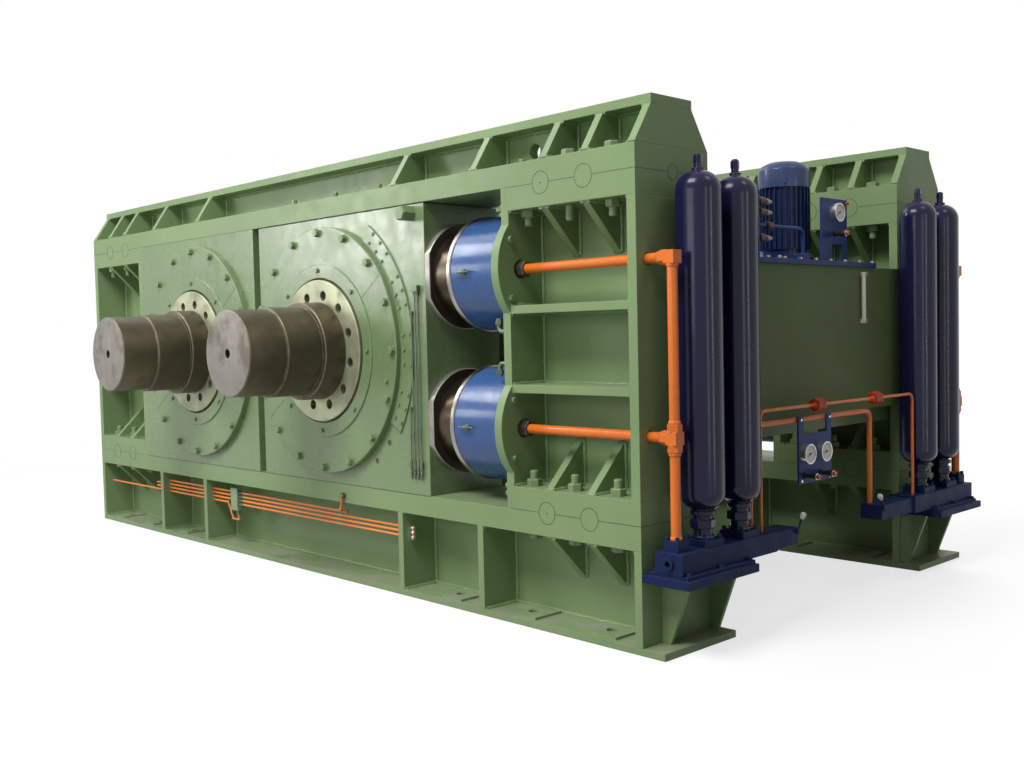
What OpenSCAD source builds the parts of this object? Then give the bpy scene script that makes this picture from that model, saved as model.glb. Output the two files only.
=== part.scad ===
// Roller press: two welded side frames, a fixed and a moving roll, four thrust cylinders and their oil set.

/* [Side frames] */
// width of one side frame along Y
frame_w = 560; // [520:2:600]
// width over both side frames
span = 3080; // [2980:10:3300]
// height of the lower beam
beam_h = 614; // [560:2:660]
// height of the window between the beams
window_h = 1678; // [1660:2:1740]
// height of the upper beam
upper_h = 358; // [320:2:420]
// thickness of the bolted flanges
flange_t = 120; // [100:1:130]
// width of the top plate
top_w = 310; // [260:2:360]
// thickness of the top plate
top_t = 45; // [35:1:60]
// thickness of the sole plate
sole_t = 35; // [25:1:50]
// length of the sole plate beyond the thrust end
sole_out = 133; // [110:1:180]
// thickness of the beam and column webs
web_t = 60; // [40:1:70]
// thickness of the beam ribs
rib_t = 45; // [30:1:55]
// height of the anchor pads
pad_t = 12; // [6:1:20]
// radius of the anchor holes
anchor_r = 30; // [20:1:36]
// distance of the first beam rib from a frame end
rib_1 = 321; // [300:1:340]
// distance of the second beam rib from a frame end
rib_2 = 602; // [580:1:620]
// distance of the third beam rib from a frame end
rib_3 = 1134; // [1100:1:1160]
// distance of the fourth beam rib from a frame end
rib_4 = 1843; // [1800:1:1880]

/* [Columns] */
// length of the inner plate beyond the column flanges
plate_lip = 31; // [26:1:36]
// distance of the inner plate face from the frame end
col_reach = 911; // [905:1:940]
// thickness of the column plates
col_t = 55; // [45:1:60]
// radius of the lobes on the thrust plate
lobe_r = 362; // [350:1:375]
// thickness of the level stiffeners
stiff_t = 43; // [30:1:50]
// radius of the round shear keys
key_r = 57; // [45:1:62]
// radius of the shear keys in the frame ends
end_key_r = 38; // [32:1:44]
// depth of the round shear keys
key_len = 150; // [100:5:200]

/* [Bearings] */
// gap between the bearing housings
housing_gap = 80; // [75:1:100]
// length of the moving housing along X
moving_w = 1788; // [1780:1:1810]
// length of the fixed housing along X
fixed_w = 1739; // [1720:1:1770]
// distance of the moving roll axis from the gap side of its housing
moving_in = 782; // [770:1:795]
// distance of the fixed roll axis from the gap side of its housing
fixed_in = 816; // [800:1:830]
// gap between the two bearing covers
cover_gap = 128; // [110:1:150]
// thickness of the bearing covers
cover_t = 42; // [30:1:50]
// width of the inner cover ring
ring_w = 87; // [70:1:100]
// gap between the cover opening and the retaining plate
plate_gap = 12; // [8:1:20]
// height of the inner cover ring
ring_t = 10; // [6:1:16]
// height of the end cap on the far covers
cap_t = 30; // [20:1:60]
// width of the arc strip on the moving housing
strip_w = 118; // [90:1:120]
// thickness of the arc strip
strip_t = 10; // [6:1:14]

/* [Rolls] */
// gap between the two rolls
roll_gap = 28; // [20:1:60]
// width of the rolls
roll_w = 1400; // [1200:10:1500]
// radius of the bearing journals
journal_r = 400; // [390:1:410]
// height of the shaft shoulder over the journals
shoulder_h = 30; // [20:1:45]
// height of the roll seat over the shoulder
core_h = 70; // [40:1:90]
// radius of the shaft at the retaining plate
neck_r = 304; // [290:1:310]
// radius of the middle shaft step
step_r = 275; // [268:1:285]
// radius of the shaft end
end_r = 261; // [240:1:265]
// length of the shaft beyond the near frame
shaft_out = 700; // [660:5:760]
// start of the middle shaft step
step_1 = 454; // [430:1:480]
// start of the shaft neck
step_2 = 212; // [190:1:240]
// overhang of the retaining plate over the journal
plate_over = 46; // [40:1:52]
// thickness of the retaining plate
plate_t = 55; // [40:1:60]
// radius of the holes in the retaining plate
plate_hole_r = 31; // [20:1:34]
// distance of the hole circle from the shaft neck
plate_row = 46; // [42:1:52]

/* [Thrust cylinders] */
// radius of the barrels
barrel_r = 318; // [300:1:325]
// length of the barrels
barrel_len = 378; // [370:1:400]
// length of the gland rings
gland_len = 32; // [24:1:40]
// radius of the rams
ram_r = 255; // [230:1:265]
// radius of the thrust pads
pad_r = 306; // [290:1:320]
// thickness of the thrust pads
thrust_t = 40; // [30:1:50]
// free length between the moving housing and the thrust plate
thrust_space = 641; // [630:1:680]

/* [Oil set] */
// length of the manifold plate beyond the frame end
plate_out = 275; // [265:1:300]
// height of the manifold plate top
plate_z = 405; // [390:1:430]
// distance of the manifold axis from the frame end
mani_x = 145; // [140:1:160]
// radius of the pressure pipes
pipe_r = 25; // [18:1:28]
// width of the square pipe fittings
tee_w = 62; // [56:1:70]
// distance of the pressure pipe from the frame front
pipe_y = 80; // [70:1:110]
// radius of the oil bottles
bottle_r = 109.5; // [95:0.5:115]
// length of the bottle bodies
bottle_len = 1602; // [1500:1:1640]
// distance between two bottles
bottle_gap = 299; // [270:1:310]
// gap between the tank and a side frame
tank_gap = 20; // [10:1:40]
// length of the tank lid along Y
lid_len = 1306; // [1260:2:1360]
// height of the tank
tank_h = 840; // [780:5:880]
// depth of the tank along X
tank_d = 740; // [700:5:780]
// distance of the tank face beyond the frame end
tank_out = 20; // [10:1:24]
// height of the tank bottom
tank_z = 1040; // [1035:1:1060]
// thickness of the tank lid
lid_t = 28; // [18:1:40]
// radius of the motor body
motor_r = 150; // [130:1:160]

/* [Fits] */
// running gap of the journals
run_gap = 0.3; // [0.1:0.05:0.4]
// gap under the housings and around fixed round pieces
seat_gap = 0.3; // [0.2:0.05:0.5]
// gap above the moving housing
top_gap = 6; // [5:0.5:8]

/* [Hidden] */
$fn = 96;
// small overlap that joins the solids of one piece
join = 1;
// distances of the housings and roll axes from the thrust end
moving_d0 = col_reach + thrust_space;
moving_d1 = moving_d0 + moving_w;
moving_d = moving_d1 - moving_in;
fixed_d0 = moving_d1 + housing_gap;
fixed_d1 = fixed_d0 + fixed_w;
fixed_d = fixed_d0 + fixed_in;
axis_gap = fixed_d - moving_d;
frame_len = fixed_d1 + col_reach;
// frame end, middle and front planes, chosen so that the whole part is centred
far_out = max(cover_t + cap_t, lobe_r - frame_w / 2);
x_end = (frame_len - plate_out) / 2;
x_mid = x_end - frame_len / 2;
y_mid = (shaft_out - far_out) / 2;
y_front = y_mid - span / 2;
// heights
win_z = beam_h + window_h;
top_z = win_z + upper_h;
axis_z = beam_h + window_h / 2;
lower_z1 = beam_h - flange_t;
upper_z0 = win_z + flange_t;
upper_z1 = top_z - top_t;
bay_z0 = beam_h + flange_t;
bay_z1 = win_z - flange_t;
// widths inside a frame
half_w = frame_w / 2;
side_w = (frame_w - web_t) / 2;
top_y = (frame_w - top_w) / 2;
col_len = col_reach - plate_lip;

function dx(d) = x_end - d;

// a plate given by its distances from the thrust end, from the frame front, and its heights
module slab(d0, d1, y0, y1, z0, z1) {
    translate([dx(d1), y_front + y0, z0])
        cube([d1 - d0, y1 - y0, z1 - z0]);
}

// a round bar along Y that starts at distance y from the frame front
module bar_y(d, y, z, r, len) {
    translate([dx(d), y_front + y, z])
        rotate([-90, 0, 0])
            cylinder(r = r, h = len);
}

// a round bar along X that starts at distance d and runs to the left
module bar_x(d, y, z, r, len) {
    translate([dx(d + len), y_front + y, z])
        rotate([0, 90, 0])
            cylinder(r = r, h = len);
}

// an upright round bar
module bar_z(d, y, z, r, len) {
    translate([dx(d), y_front + y, z])
        cylinder(r = r, h = len);
}

// a piece turned about a roll axis, from points of radius and depth behind the frame front
module turned_y(d, points) {
    translate([dx(d), y_front, axis_z])
        rotate([-90, 0, 0])
            rotate_extrude()
                polygon(points);
}

// a piece turned about a cylinder axis, from points of radius and distance to the left of d
module turned_x(d, z, points) {
    translate([dx(d), y_front + half_w, z])
        rotate([0, -90, 0])
            rotate_extrude()
                polygon(points);
}

// an outline in Y and Z, drawn as a plate of thickness t
module yz_plate(d, t, points) {
    translate([dx(d + t), y_front, 0])
        rotate([90, 0, 90])
            linear_extrude(height = t)
                polygon(points);
}

// a quarter bend of a pipe in the Y and Z plane, from angle a
module pipe_bend(d, y, z, bend, r, a) {
    translate([dx(d), y_front + y, z])
        rotate([90, 0, 90])
            rotate([0, 0, a])
                rotate_extrude(angle = 90)
                    translate([bend, 0])
                        circle(r = r);
}

module far() {
    translate([0, 2 * y_mid, 0])
        mirror([0, 1, 0])
            children();
}

module at_left() {
    translate([2 * x_mid, 0, 0])
        mirror([1, 0, 0])
            children();
}

module both() {
    children();
    far()
        children();
}

module four() {
    both() {
        children();
        at_left()
            children();
    }
}

// the side on the back of a frame, mirrored about the frame's own middle
module front_and_back() {
    children();
    translate([0, 2 * (y_front + half_w), 0])
        mirror([0, 1, 0])
            children();
}

// Beams of the side frames

anchor_1 = 300;
anchor_2 = 855;
anchor_in = 314;
anchor_3 = rib_3 + anchor_in;
anchor_y = 155;
pad_near = 110;
pad_far = 44;
pad_y = 195;
pad_shift = 3;

module anchor_holes() {
    for (d = [anchor_1, anchor_2, anchor_3])
        for (s = [-1, 1])
            bar_z(d, half_w + s * anchor_y, -join, anchor_r, sole_t + pad_t + 2 * join);
}

module anchor_pads() {
    for (d = [anchor_1, anchor_2, anchor_3])
        for (s = [-1, 1])
            slab(d - pad_near, d + pad_far, half_w + s * (anchor_y + pad_shift) - pad_y / 2,
                half_w + s * (anchor_y + pad_shift) + pad_y / 2, sole_t - join, sole_t + pad_t);
}

module sole_plates() {
    color("#7d8f76")
        both()
            difference() {
                union() {
                    slab(-sole_out, frame_len, 0, frame_w, 0, sole_t);
                    anchor_pads();
                    at_left()
                        anchor_pads();
                }
                anchor_holes();
                at_left()
                    anchor_holes();
            }
}

// the bores of the round keys, half in each of two joined flanges
key_1 = 327;
key_2 = 619;
key_deep = key_len + seat_gap;

module key_bores(z) {
    for (d = [key_1, key_2, frame_len - key_1, frame_len - key_2]) {
        bar_y(d, -join, z, key_r + seat_gap, key_deep + join);
        bar_y(d, frame_w - key_deep, z, key_r + seat_gap, key_deep + join);
    }
    bar_x(-join, half_w, z, end_key_r + seat_gap, key_deep + join);
    bar_x(frame_len - key_deep, half_w, z, end_key_r + seat_gap, key_deep + join);
}

module lower_flanges() {
    color("#a9b79f")
        both()
            difference() {
                slab(0, frame_len, 0, frame_w, lower_z1, beam_h);
                key_bores(beam_h);
            }
}

module upper_flanges() {
    color("#a9b79f")
        both()
            difference() {
                slab(0, frame_len, 0, frame_w, win_z, upper_z0);
                key_bores(win_z);
            }
}

module top_plates() {
    color("#a9b79f")
        both()
            slab(0, frame_len, top_y, top_y + top_w, upper_z1, top_z);
}

lift_d = 899;
lift_r = 40;
lift_z = (upper_z0 + upper_z1) / 2;

module beam_webs() {
    color("#5f7159")
        both() {
            slab(rib_t, frame_len - rib_t, side_w, side_w + web_t, sole_t, lower_z1);
            difference() {
                slab(rib_t, frame_len - rib_t, side_w, side_w + web_t, upper_z0, upper_z1);
                bar_y(lift_d, side_w - join, lift_z, lift_r, web_t + 2 * join);
                bar_y(frame_len - lift_d, side_w - join, lift_z, lift_r, web_t + 2 * join);
            }
        }
}

gusset_h = 250;
rib_in = 35;

module upper_rib(d) {
    yz_plate(d - rib_t / 2, rib_t, [[0, upper_z0], [side_w, upper_z0], [side_w, upper_z1], [top_y + rib_in, upper_z1]]);
}

module lower_rib(d) {
    slab(d - rib_t / 2, d + rib_t / 2, 0, side_w, sole_t, lower_z1);
}

// small gusset under the lower beam flange
module lower_gusset(d) {
    yz_plate(d - rib_t / 2, rib_t, [[0, lower_z1], [side_w, lower_z1 - gusset_h], [side_w, lower_z1]]);
}

module beam_ribs_half() {
    front_and_back() {
        for (d = [rib_1, rib_2, rib_3, rib_4])
            upper_rib(d);
        for (d = [rib_3, rib_4])
            lower_rib(d);
        for (d = [rib_1, rib_2])
            lower_gusset(d);
    }
    yz_plate(0, rib_t, [[0, upper_z0], [frame_w, upper_z0], [frame_w - top_y - rib_in, upper_z1], [top_y + rib_in, upper_z1]]);
    slab(0, rib_t, 0, frame_w, sole_t, lower_z1);
}

module near_beam_ribs() {
    color("#8fa184")
        difference() {
            union() {
                beam_ribs_half();
                at_left()
                    beam_ribs_half();
            }
            lube_rows(lube_r + seat_gap, join);
        }
}

module far_beam_ribs() {
    color("#8fa184")
        far() {
            beam_ribs_half();
            at_left()
                beam_ribs_half();
        }
}

// Columns between the beams

cyl_rise = window_h / 4;
pipe_z1 = axis_z + cyl_rise;
pipe_z2 = axis_z - cyl_rise;
pipe_clear = 5;

module column_flanges() {
    difference() {
        union() {
            slab(0, col_len, 0, frame_w, beam_h, bay_z0);
            slab(0, col_len, 0, frame_w, bay_z1, win_z);
        }
        key_bores(beam_h);
        key_bores(win_z);
    }
}

module near_column_flanges() {
    color("#a9b79f") {
        column_flanges();
        at_left()
            column_flanges();
    }
}

module far_column_flanges() {
    color("#a9b79f")
        far() {
            column_flanges();
            at_left()
                column_flanges();
        }
}

module inner_plate() {
    slab(col_reach - col_t, col_reach, 0, frame_w, bay_z0, bay_z1);
    slab(col_len, col_reach, 0, frame_w, beam_h, win_z);
}

// inner plate of the thrust end, with a round lobe behind each cylinder
module thrust_plate() {
    difference() {
        union() {
            inner_plate();
            for (z = [pipe_z1, pipe_z2])
                bar_x(col_reach - col_t, half_w, z, lobe_r, col_t);
        }
        slab(0, col_len, 0, frame_w, bay_z1, win_z);
        slab(0, col_len, 0, frame_w, beam_h, bay_z0);
        for (z = [pipe_z1, pipe_z2])
            bar_x(col_reach - col_t - join, pipe_y, z, pipe_r + pipe_clear, col_t + 2 * join);
    }
}

module outer_plate() {
    slab(0, col_t, 0, frame_w, bay_z0, bay_z1);
}

module column_plates() {
    thrust_plate();
    difference() {
        outer_plate();
        for (z = [pipe_z1, pipe_z2])
            bar_x(-join, pipe_y, z, pipe_r + pipe_clear, col_t + 2 * join);
    }
    at_left() {
        inner_plate();
        outer_plate();
    }
}

module near_column_plates() {
    color("#9fae95")
        column_plates();
}

module far_column_plates() {
    color("#9fae95")
        far()
            column_plates();
}

module column_webs() {
    color("#5f7159")
        four()
            slab(col_t, col_reach - col_t, side_w, side_w + web_t, bay_z0, bay_z1);
}

stiff_z = 206;

module column_gusset(d) {
    yz_plate(d - rib_t / 2, rib_t, [[0, bay_z0], [side_w, bay_z0], [side_w, bay_z0 + gusset_h]]);
    yz_plate(d - rib_t / 2, rib_t, [[0, bay_z1], [side_w, bay_z1 - gusset_h], [side_w, bay_z1]]);
}

module column_stiffeners() {
    color("#8fa184")
        four()
            front_and_back() {
                for (z = [axis_z - stiff_z, axis_z + stiff_z])
                    slab(col_t, col_reach - col_t, 0, side_w, z - stiff_t / 2, z + stiff_t / 2);
                column_gusset(rib_1);
                column_gusset(rib_2);
            }
}

module joint_keys() {
    color("#94a48a")
        four()
            for (z = [beam_h, win_z]) {
                for (d = [key_1, key_2]) {
                    bar_y(d, 0, z, key_r, key_len);
                    bar_y(d, frame_w - key_len, z, key_r, key_len);
                }
                bar_x(0, half_w, z, end_key_r, key_len);
            }
}

// Bearing housings and their covers

cover_r = (axis_gap - cover_gap) / 2;
plate_r = journal_r + plate_over;
ring_in = plate_r + plate_gap;
ring_r = ring_in + ring_w;
cover_edge = 4;
strip_low = -33;
strip_turn = 90;

module housing(d0, d1, d, gap) {
    difference() {
        slab(d0, d1, 0, frame_w, beam_h + seat_gap, win_z - gap);
        bar_y(d, -join, axis_z, journal_r + run_gap, frame_w + 2 * join);
    }
}

// curved strip beside the cover on the thrust side of the moving housing
module arc_strip() {
    intersection() {
        translate([dx(moving_d), y_front + join, axis_z])
            rotate([90, 0, 0])
                rotate([0, 0, strip_low])
                    rotate_extrude(angle = strip_turn)
                        translate([cover_r + seat_gap, 0])
                            square([strip_w, strip_t + join]);
        slab(moving_d0, moving_d1, -strip_t - join, 2 * join, beam_h, win_z);
    }
}

module moving_housing() {
    union() {
        housing(moving_d0, moving_d1, moving_d, top_gap);
        arc_strip();
    }
}

module near_fixed_housing() {
    color("#a3b399")
        housing(fixed_d0, fixed_d1, fixed_d, seat_gap);
}

module far_fixed_housing() {
    color("#a3b399")
        far()
            housing(fixed_d0, fixed_d1, fixed_d, seat_gap);
}

module near_moving_housing() {
    color("#a3b399")
        moving_housing();
}

module far_moving_housing() {
    color("#a3b399")
        far()
            moving_housing();
}

module open_cover(d) {
    turned_y(d, [
        [ring_in, 0], [cover_r, 0], [cover_r, cover_edge - cover_t], [cover_r - cover_edge, -cover_t],
        [ring_r, -cover_t], [ring_r, cover_edge - cover_t - ring_t], [ring_r - cover_edge, -cover_t - ring_t],
        [ring_in, -cover_t - ring_t]
    ]);
}

module closed_cover(d) {
    turned_y(d, [
        [0, 0], [cover_r, 0], [cover_r, cover_edge - cover_t], [cover_r - cover_edge, -cover_t],
        [ring_r, -cover_t], [ring_r, cover_edge - cover_t - cap_t], [ring_r - cover_edge, -cover_t - cap_t],
        [0, -cover_t - cap_t]
    ]);
}

module near_fixed_cover() {
    color("#a3b399")
        open_cover(fixed_d);
}

module far_fixed_cover() {
    color("#a3b399")
        far()
            closed_cover(fixed_d);
}

module near_moving_cover() {
    color("#a3b399")
        open_cover(moving_d);
}

module far_moving_cover() {
    color("#a3b399")
        far()
            closed_cover(moving_d);
}

// Thrust cylinders

ram_free = thrust_space - thrust_t - barrel_len - gland_len;
ram_back = 90;
barrel_floor = 20;
ram_gap = 0.5;
gland_over = 6;
turn_edge = 6;
bore_r = ram_r + ram_gap;

module barrel(z) {
    turned_x(col_reach, z, [
        [0, 0], [barrel_r - turn_edge, 0], [barrel_r, turn_edge], [barrel_r, barrel_len - turn_edge],
        [barrel_r - turn_edge, barrel_len], [bore_r, barrel_len], [bore_r, barrel_floor], [0, barrel_floor]
    ]);
}

module thrust_barrels() {
    color("#3f66a8")
        both() {
            barrel(pipe_z1);
            barrel(pipe_z2);
        }
}

module gland(z) {
    gland_r = barrel_r + gland_over;
    turned_x(col_reach + barrel_len, z, [
        [bore_r, 0], [gland_r - turn_edge, 0], [gland_r, turn_edge], [gland_r, gland_len - turn_edge],
        [gland_r - turn_edge, gland_len], [bore_r, gland_len]
    ]);
}

module gland_rings() {
    color("#c9c9c4")
        both() {
            gland(pipe_z1);
            gland(pipe_z2);
        }
}

// ram with its round pad against the moving housing
module ram(z) {
    tail = thrust_t + ram_free + gland_len + barrel_len - ram_back;
    turned_x(moving_d0, z, [
        [0, -tail], [ram_r - turn_edge, -tail], [ram_r, turn_edge - tail], [ram_r, -thrust_t],
        [pad_r - turn_edge, -thrust_t], [pad_r, turn_edge - thrust_t], [pad_r, -turn_edge],
        [pad_r - turn_edge, 0], [0, 0]
    ]);
}

module thrust_rams() {
    color("#4a3d30")
        both() {
            ram(pipe_z1);
            ram(pipe_z2);
        }
}

// Rolls

roll_r = (axis_gap - roll_gap) / 2;
roll_y0 = span / 2 - roll_w / 2;
roll_edge = 8;
shoulder_r = journal_r + shoulder_h;
core_r = shoulder_r + core_h;
shoulder_gap = 12;
shaft_in = 40;
plate_face = 67;
plate_pcd_r = neck_r + plate_row;
centre_r = 28;
centre_deep = 60;

// stepped shaft, drawn from the near end to the far journal
module shaft(d) {
    seat = plate_t - plate_face;
    near_in = frame_w + shoulder_gap;
    far_in = span - frame_w - shoulder_gap;
    turned_y(d, [
        [0, centre_deep - shaft_out], [centre_r, centre_deep - shaft_out], [centre_r, -shaft_out],
        [end_r - turn_edge, -shaft_out], [end_r, turn_edge - shaft_out], [end_r, -step_1],
        [step_r - turn_edge, -step_1], [step_r, turn_edge - step_1], [step_r, -step_2],
        [neck_r - turn_edge, -step_2], [neck_r, turn_edge - step_2], [neck_r, seat], [journal_r, seat],
        [journal_r, near_in], [shoulder_r, near_in], [shoulder_r, roll_y0], [core_r, roll_y0],
        [core_r, roll_y0 + roll_w], [shoulder_r, roll_y0 + roll_w], [shoulder_r, far_in], [journal_r, far_in],
        [journal_r, span - shaft_in], [0, span - shaft_in]
    ]);
}

module roll(d) {
    bore = core_r + seat_gap;
    turned_y(d, [
        [bore, roll_y0], [roll_r - roll_edge, roll_y0], [roll_r, roll_y0 + roll_edge],
        [roll_r, roll_y0 + roll_w - roll_edge], [roll_r - roll_edge, roll_y0 + roll_w], [bore, roll_y0 + roll_w]
    ]);
}

module retainer(d) {
    hole_len = plate_t + 2 * join;
    difference() {
        turned_y(d, [
            [neck_r + seat_gap, -plate_face], [plate_r - cover_edge, -plate_face],
            [plate_r, cover_edge - plate_face], [plate_r, plate_t - plate_face],
            [neck_r + seat_gap, plate_t - plate_face]
        ]);
        for (a = [18 : 30 : 348])
            bar_y(d - plate_pcd_r * cos(a), -plate_face - join, axis_z + plate_pcd_r * sin(a), plate_hole_r, hole_len);
    }
}

module fixed_shaft() {
    color("#4b3f31")
        shaft(fixed_d);
}

module fixed_roll() {
    color("#77736b")
        roll(fixed_d);
}

module fixed_retainer() {
    color("#b3b3a4")
        retainer(fixed_d);
}

module moving_shaft() {
    color("#4b3f31")
        shaft(moving_d);
}

module moving_roll() {
    color("#77736b")
        roll(moving_d);
}

module moving_retainer() {
    color("#b3b3a4")
        retainer(moving_d);
}

// Oil manifolds and bottles at the thrust end

bracket_foot = 53;
bracket_head = 172;
bracket_t = 20;
bracket_1 = 145;
bracket_2 = 520;
plate_h = 39;
pad_plate_h = 16;
pad_plate_in = 22;
plate_z0 = plate_z - pad_plate_h - plate_h;

module bracket(y) {
    translate([dx(0), y_front + y + bracket_t, 0])
        rotate([90, 0, 0])
            linear_extrude(height = bracket_t)
                polygon([[0, sole_t], [bracket_foot, sole_t], [bracket_head, plate_z0], [0, plate_z0]]);
}

module manifold_brackets() {
    color("#6f8468")
        both() {
            bracket(bracket_1);
            bracket(bracket_2);
        }
}

module manifold_plates() {
    color("#26407c")
        both() {
            slab(-plate_out, 0, 0, frame_w, plate_z0, plate_z0 + plate_h);
            slab(-plate_out + pad_plate_in, -pad_plate_in, pad_plate_in, frame_w, plate_z0 + plate_h - join, plate_z);
        }
}

mani_w = 160;
mani_y0 = 20;
mani_t = 100;
mani_z = plate_z + mani_t;
foot_w = 80;
foot_h = 55;
neck_w = 140;
neck_h = 35;
bottle_1 = 286;
leg_gap = 35.5;
leg_y = bottle_1 + bottle_gap + bottle_r + leg_gap;
mani_end = 70;
mani_y1 = leg_y + mani_end;
end_in = 12;
end_drop = 8;
end_near = 210;
end_far = 380;
end_z = mani_z - end_drop;
port_r = 30;
port_hole_r = 15;
port_t = 12;
lever_r = 6;
lever_len = 90;
lever_tilt = 35;
knob_r = 15;

module flange_block(y, w, h) {
    slab(-mani_x - w / 2, -mani_x + w / 2, y - w / 2, y + w / 2, mani_z - join, mani_z + h);
}

// hand lever on the side of the end valve
module valve_lever(y) {
    translate([dx(-mani_x - mani_w / 2 + end_in), y_front + y, end_z - port_r / 2]) {
        rotate([0, 90, 0])
            translate([0, 0, -join])
                cylinder(r = knob_r, h = knob_r + join);
        translate([knob_r / 2, 0, 0])
            rotate([-lever_tilt, 0, 0]) {
                cylinder(r = lever_r, h = lever_len);
                translate([0, 0, lever_len])
                    sphere(r = knob_r);
            }
    }
}

// drilled block with the feet of its pipe and bottles, and a valve of length end_len at its inner end
module manifold(end_len) {
    difference() {
        union() {
            slab(-mani_x - mani_w / 2, -mani_x + mani_w / 2, mani_y0, mani_y1, plate_z, mani_z);
            flange_block(pipe_y, foot_w, foot_h);
            flange_block(bottle_1, neck_w, neck_h);
            flange_block(bottle_1 + bottle_gap, neck_w, neck_h);
            slab(-mani_x - mani_w / 2 + end_in, -mani_x + mani_w / 2 - end_in, mani_y1 - join,
                mani_y1 + end_len, plate_z + end_drop, end_z);
            bar_y(-mani_x, mani_y0 - port_t, plate_z + mani_t / 2, port_r, port_t + join);
            valve_lever(mani_y1 + end_len - knob_r);
        }
        bar_y(-mani_x, mani_y0 - port_t - join, plate_z + mani_t / 2, port_hole_r, port_t + foot_w);
    }
}

module manifold_blocks() {
    color("#22386e") {
        manifold(end_near);
        far()
            manifold(end_far);
    }
}

bottle_neck_r = 46;
neck_len = 140;
neck_z = mani_z + neck_h;
bottle_foot = neck_z + neck_len;
bottle_z = bottle_foot + bottle_len;
foot_round = 80;
crown_round = bottle_r - 16.5;
collar_r = 30;
collar_h = 12;
bottle_cap_r = 19;
bottle_cap_h = 62;

// gas bottle with rounded ends, a neck below and a filling cap above
module bottle(y) {
    translate([dx(-mani_x), y_front + y, 0])
        rotate_extrude()
            union() {
                translate([0, neck_z])
                    square([bottle_neck_r, neck_len + join]);
                translate([0, bottle_foot])
                    square([bottle_r - crown_round, bottle_len]);
                translate([0, bottle_foot])
                    square([bottle_r - foot_round, foot_round + join]);
                translate([0, bottle_foot + foot_round])
                    square([bottle_r, bottle_len - foot_round - crown_round]);
                intersection() {
                    translate([bottle_r - foot_round, bottle_foot + foot_round])
                        circle(r = foot_round);
                    translate([0, bottle_foot])
                        square([bottle_r, foot_round + join]);
                }
                intersection() {
                    translate([bottle_r - crown_round, bottle_z - crown_round])
                        circle(r = crown_round);
                    translate([0, bottle_z - crown_round - join])
                        square([bottle_r, crown_round + join]);
                }
                translate([0, bottle_z - join])
                    square([collar_r, collar_h + join]);
                translate([0, bottle_z + collar_h - join])
                    square([bottle_cap_r, bottle_cap_h + join]);
            }
}

module oil_bottles() {
    color("#1c2140")
        both() {
            bottle(bottle_1);
            bottle(bottle_1 + bottle_gap);
        }
}

nut_r = 36;
nut_len = 36;

module nut_up(z) {
    translate([dx(-mani_x), y_front + pipe_y, z])
        rotate([0, 0, 30])
            cylinder(r = nut_r, h = nut_len, $fn = 6);
}

// square fitting with a nut on the pipe that runs into the column
module fitting(z) {
    translate([dx(-mani_x) - tee_w / 2, y_front + pipe_y - tee_w / 2, z - tee_w / 2])
        cube(tee_w);
    translate([dx(-mani_x) - tee_w / 2 - nut_len, y_front + pipe_y, z])
        rotate([0, 90, 0])
            cylinder(r = nut_r, h = nut_len + join, $fn = 6);
    bar_x(-mani_x, pipe_y, z, pipe_r, mani_x + col_reach);
}

module pressure_pipe() {
    fitting(pipe_z1);
    fitting(pipe_z2);
    bar_z(-mani_x, pipe_y, mani_z + foot_h, pipe_r, pipe_z1 - mani_z - foot_h);
    nut_up(pipe_z2 + tee_w / 2 - join);
    nut_up(pipe_z2 - tee_w / 2 - nut_len + join);
}

module pressure_pipes() {
    color("#e8741c")
        both()
            pressure_pipe();
}

// Oil tank and what stands on it

tank_y0 = frame_w + tank_gap;
tank_y1 = span - tank_y0;
lid_over = 12;
lid_in = 43;
lid_y0 = (span - lid_len) / 2 + lid_in;
lid_y1 = span - lid_y0;
lid_z0 = tank_z + tank_h;
lid_z = lid_z0 + lid_t;
tank_beam_w = 60;
tank_beam_h = 100;
tank_beam_t = 9;
tank_beam_1 = 80;
tank_beam_gap = 15;
tank_beam_2 = rib_2 + rib_t / 2 + tank_beam_gap;

// channel between the webs of the two thrust columns
module tank_beam(d) {
    y0 = side_w + web_t;
    difference() {
        slab(d, d + tank_beam_w, y0, span - y0, tank_z - tank_beam_h, tank_z);
        slab(d + tank_beam_t, d + tank_beam_w + join, y0 - join, span - y0 + join,
            tank_z - tank_beam_h + tank_beam_t, tank_z - tank_beam_t);
    }
}

module tank_beams() {
    color("#6f8468") {
        tank_beam(tank_beam_1);
        tank_beam(tank_beam_2);
    }
}

module oil_tank() {
    color("#5d7048")
        slab(-tank_out, tank_d - tank_out, tank_y0, tank_y1, tank_z, lid_z0);
}

module tank_lid() {
    color("#2b4577")
        slab(-tank_out - lid_over, tank_d - tank_out + lid_over, (span - lid_len) / 2, (span + lid_len) / 2, lid_z0, lid_z);
}

motor_d = 300;
motor_back = 430;
motor_y = lid_y1 - motor_back;
motor_foot_r = motor_r + 25;
motor_foot_h = 30;
motor_neck_r = 125;
motor_neck_h = 80;
motor_len = 360;
fin_count = 30;
fin_h = 16;
fin_t = 6;
fin_end = 5;
cowl_over = -2;
cowl_h = 105;
cowl_dome = 46;
cowl_slope = 60;

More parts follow.
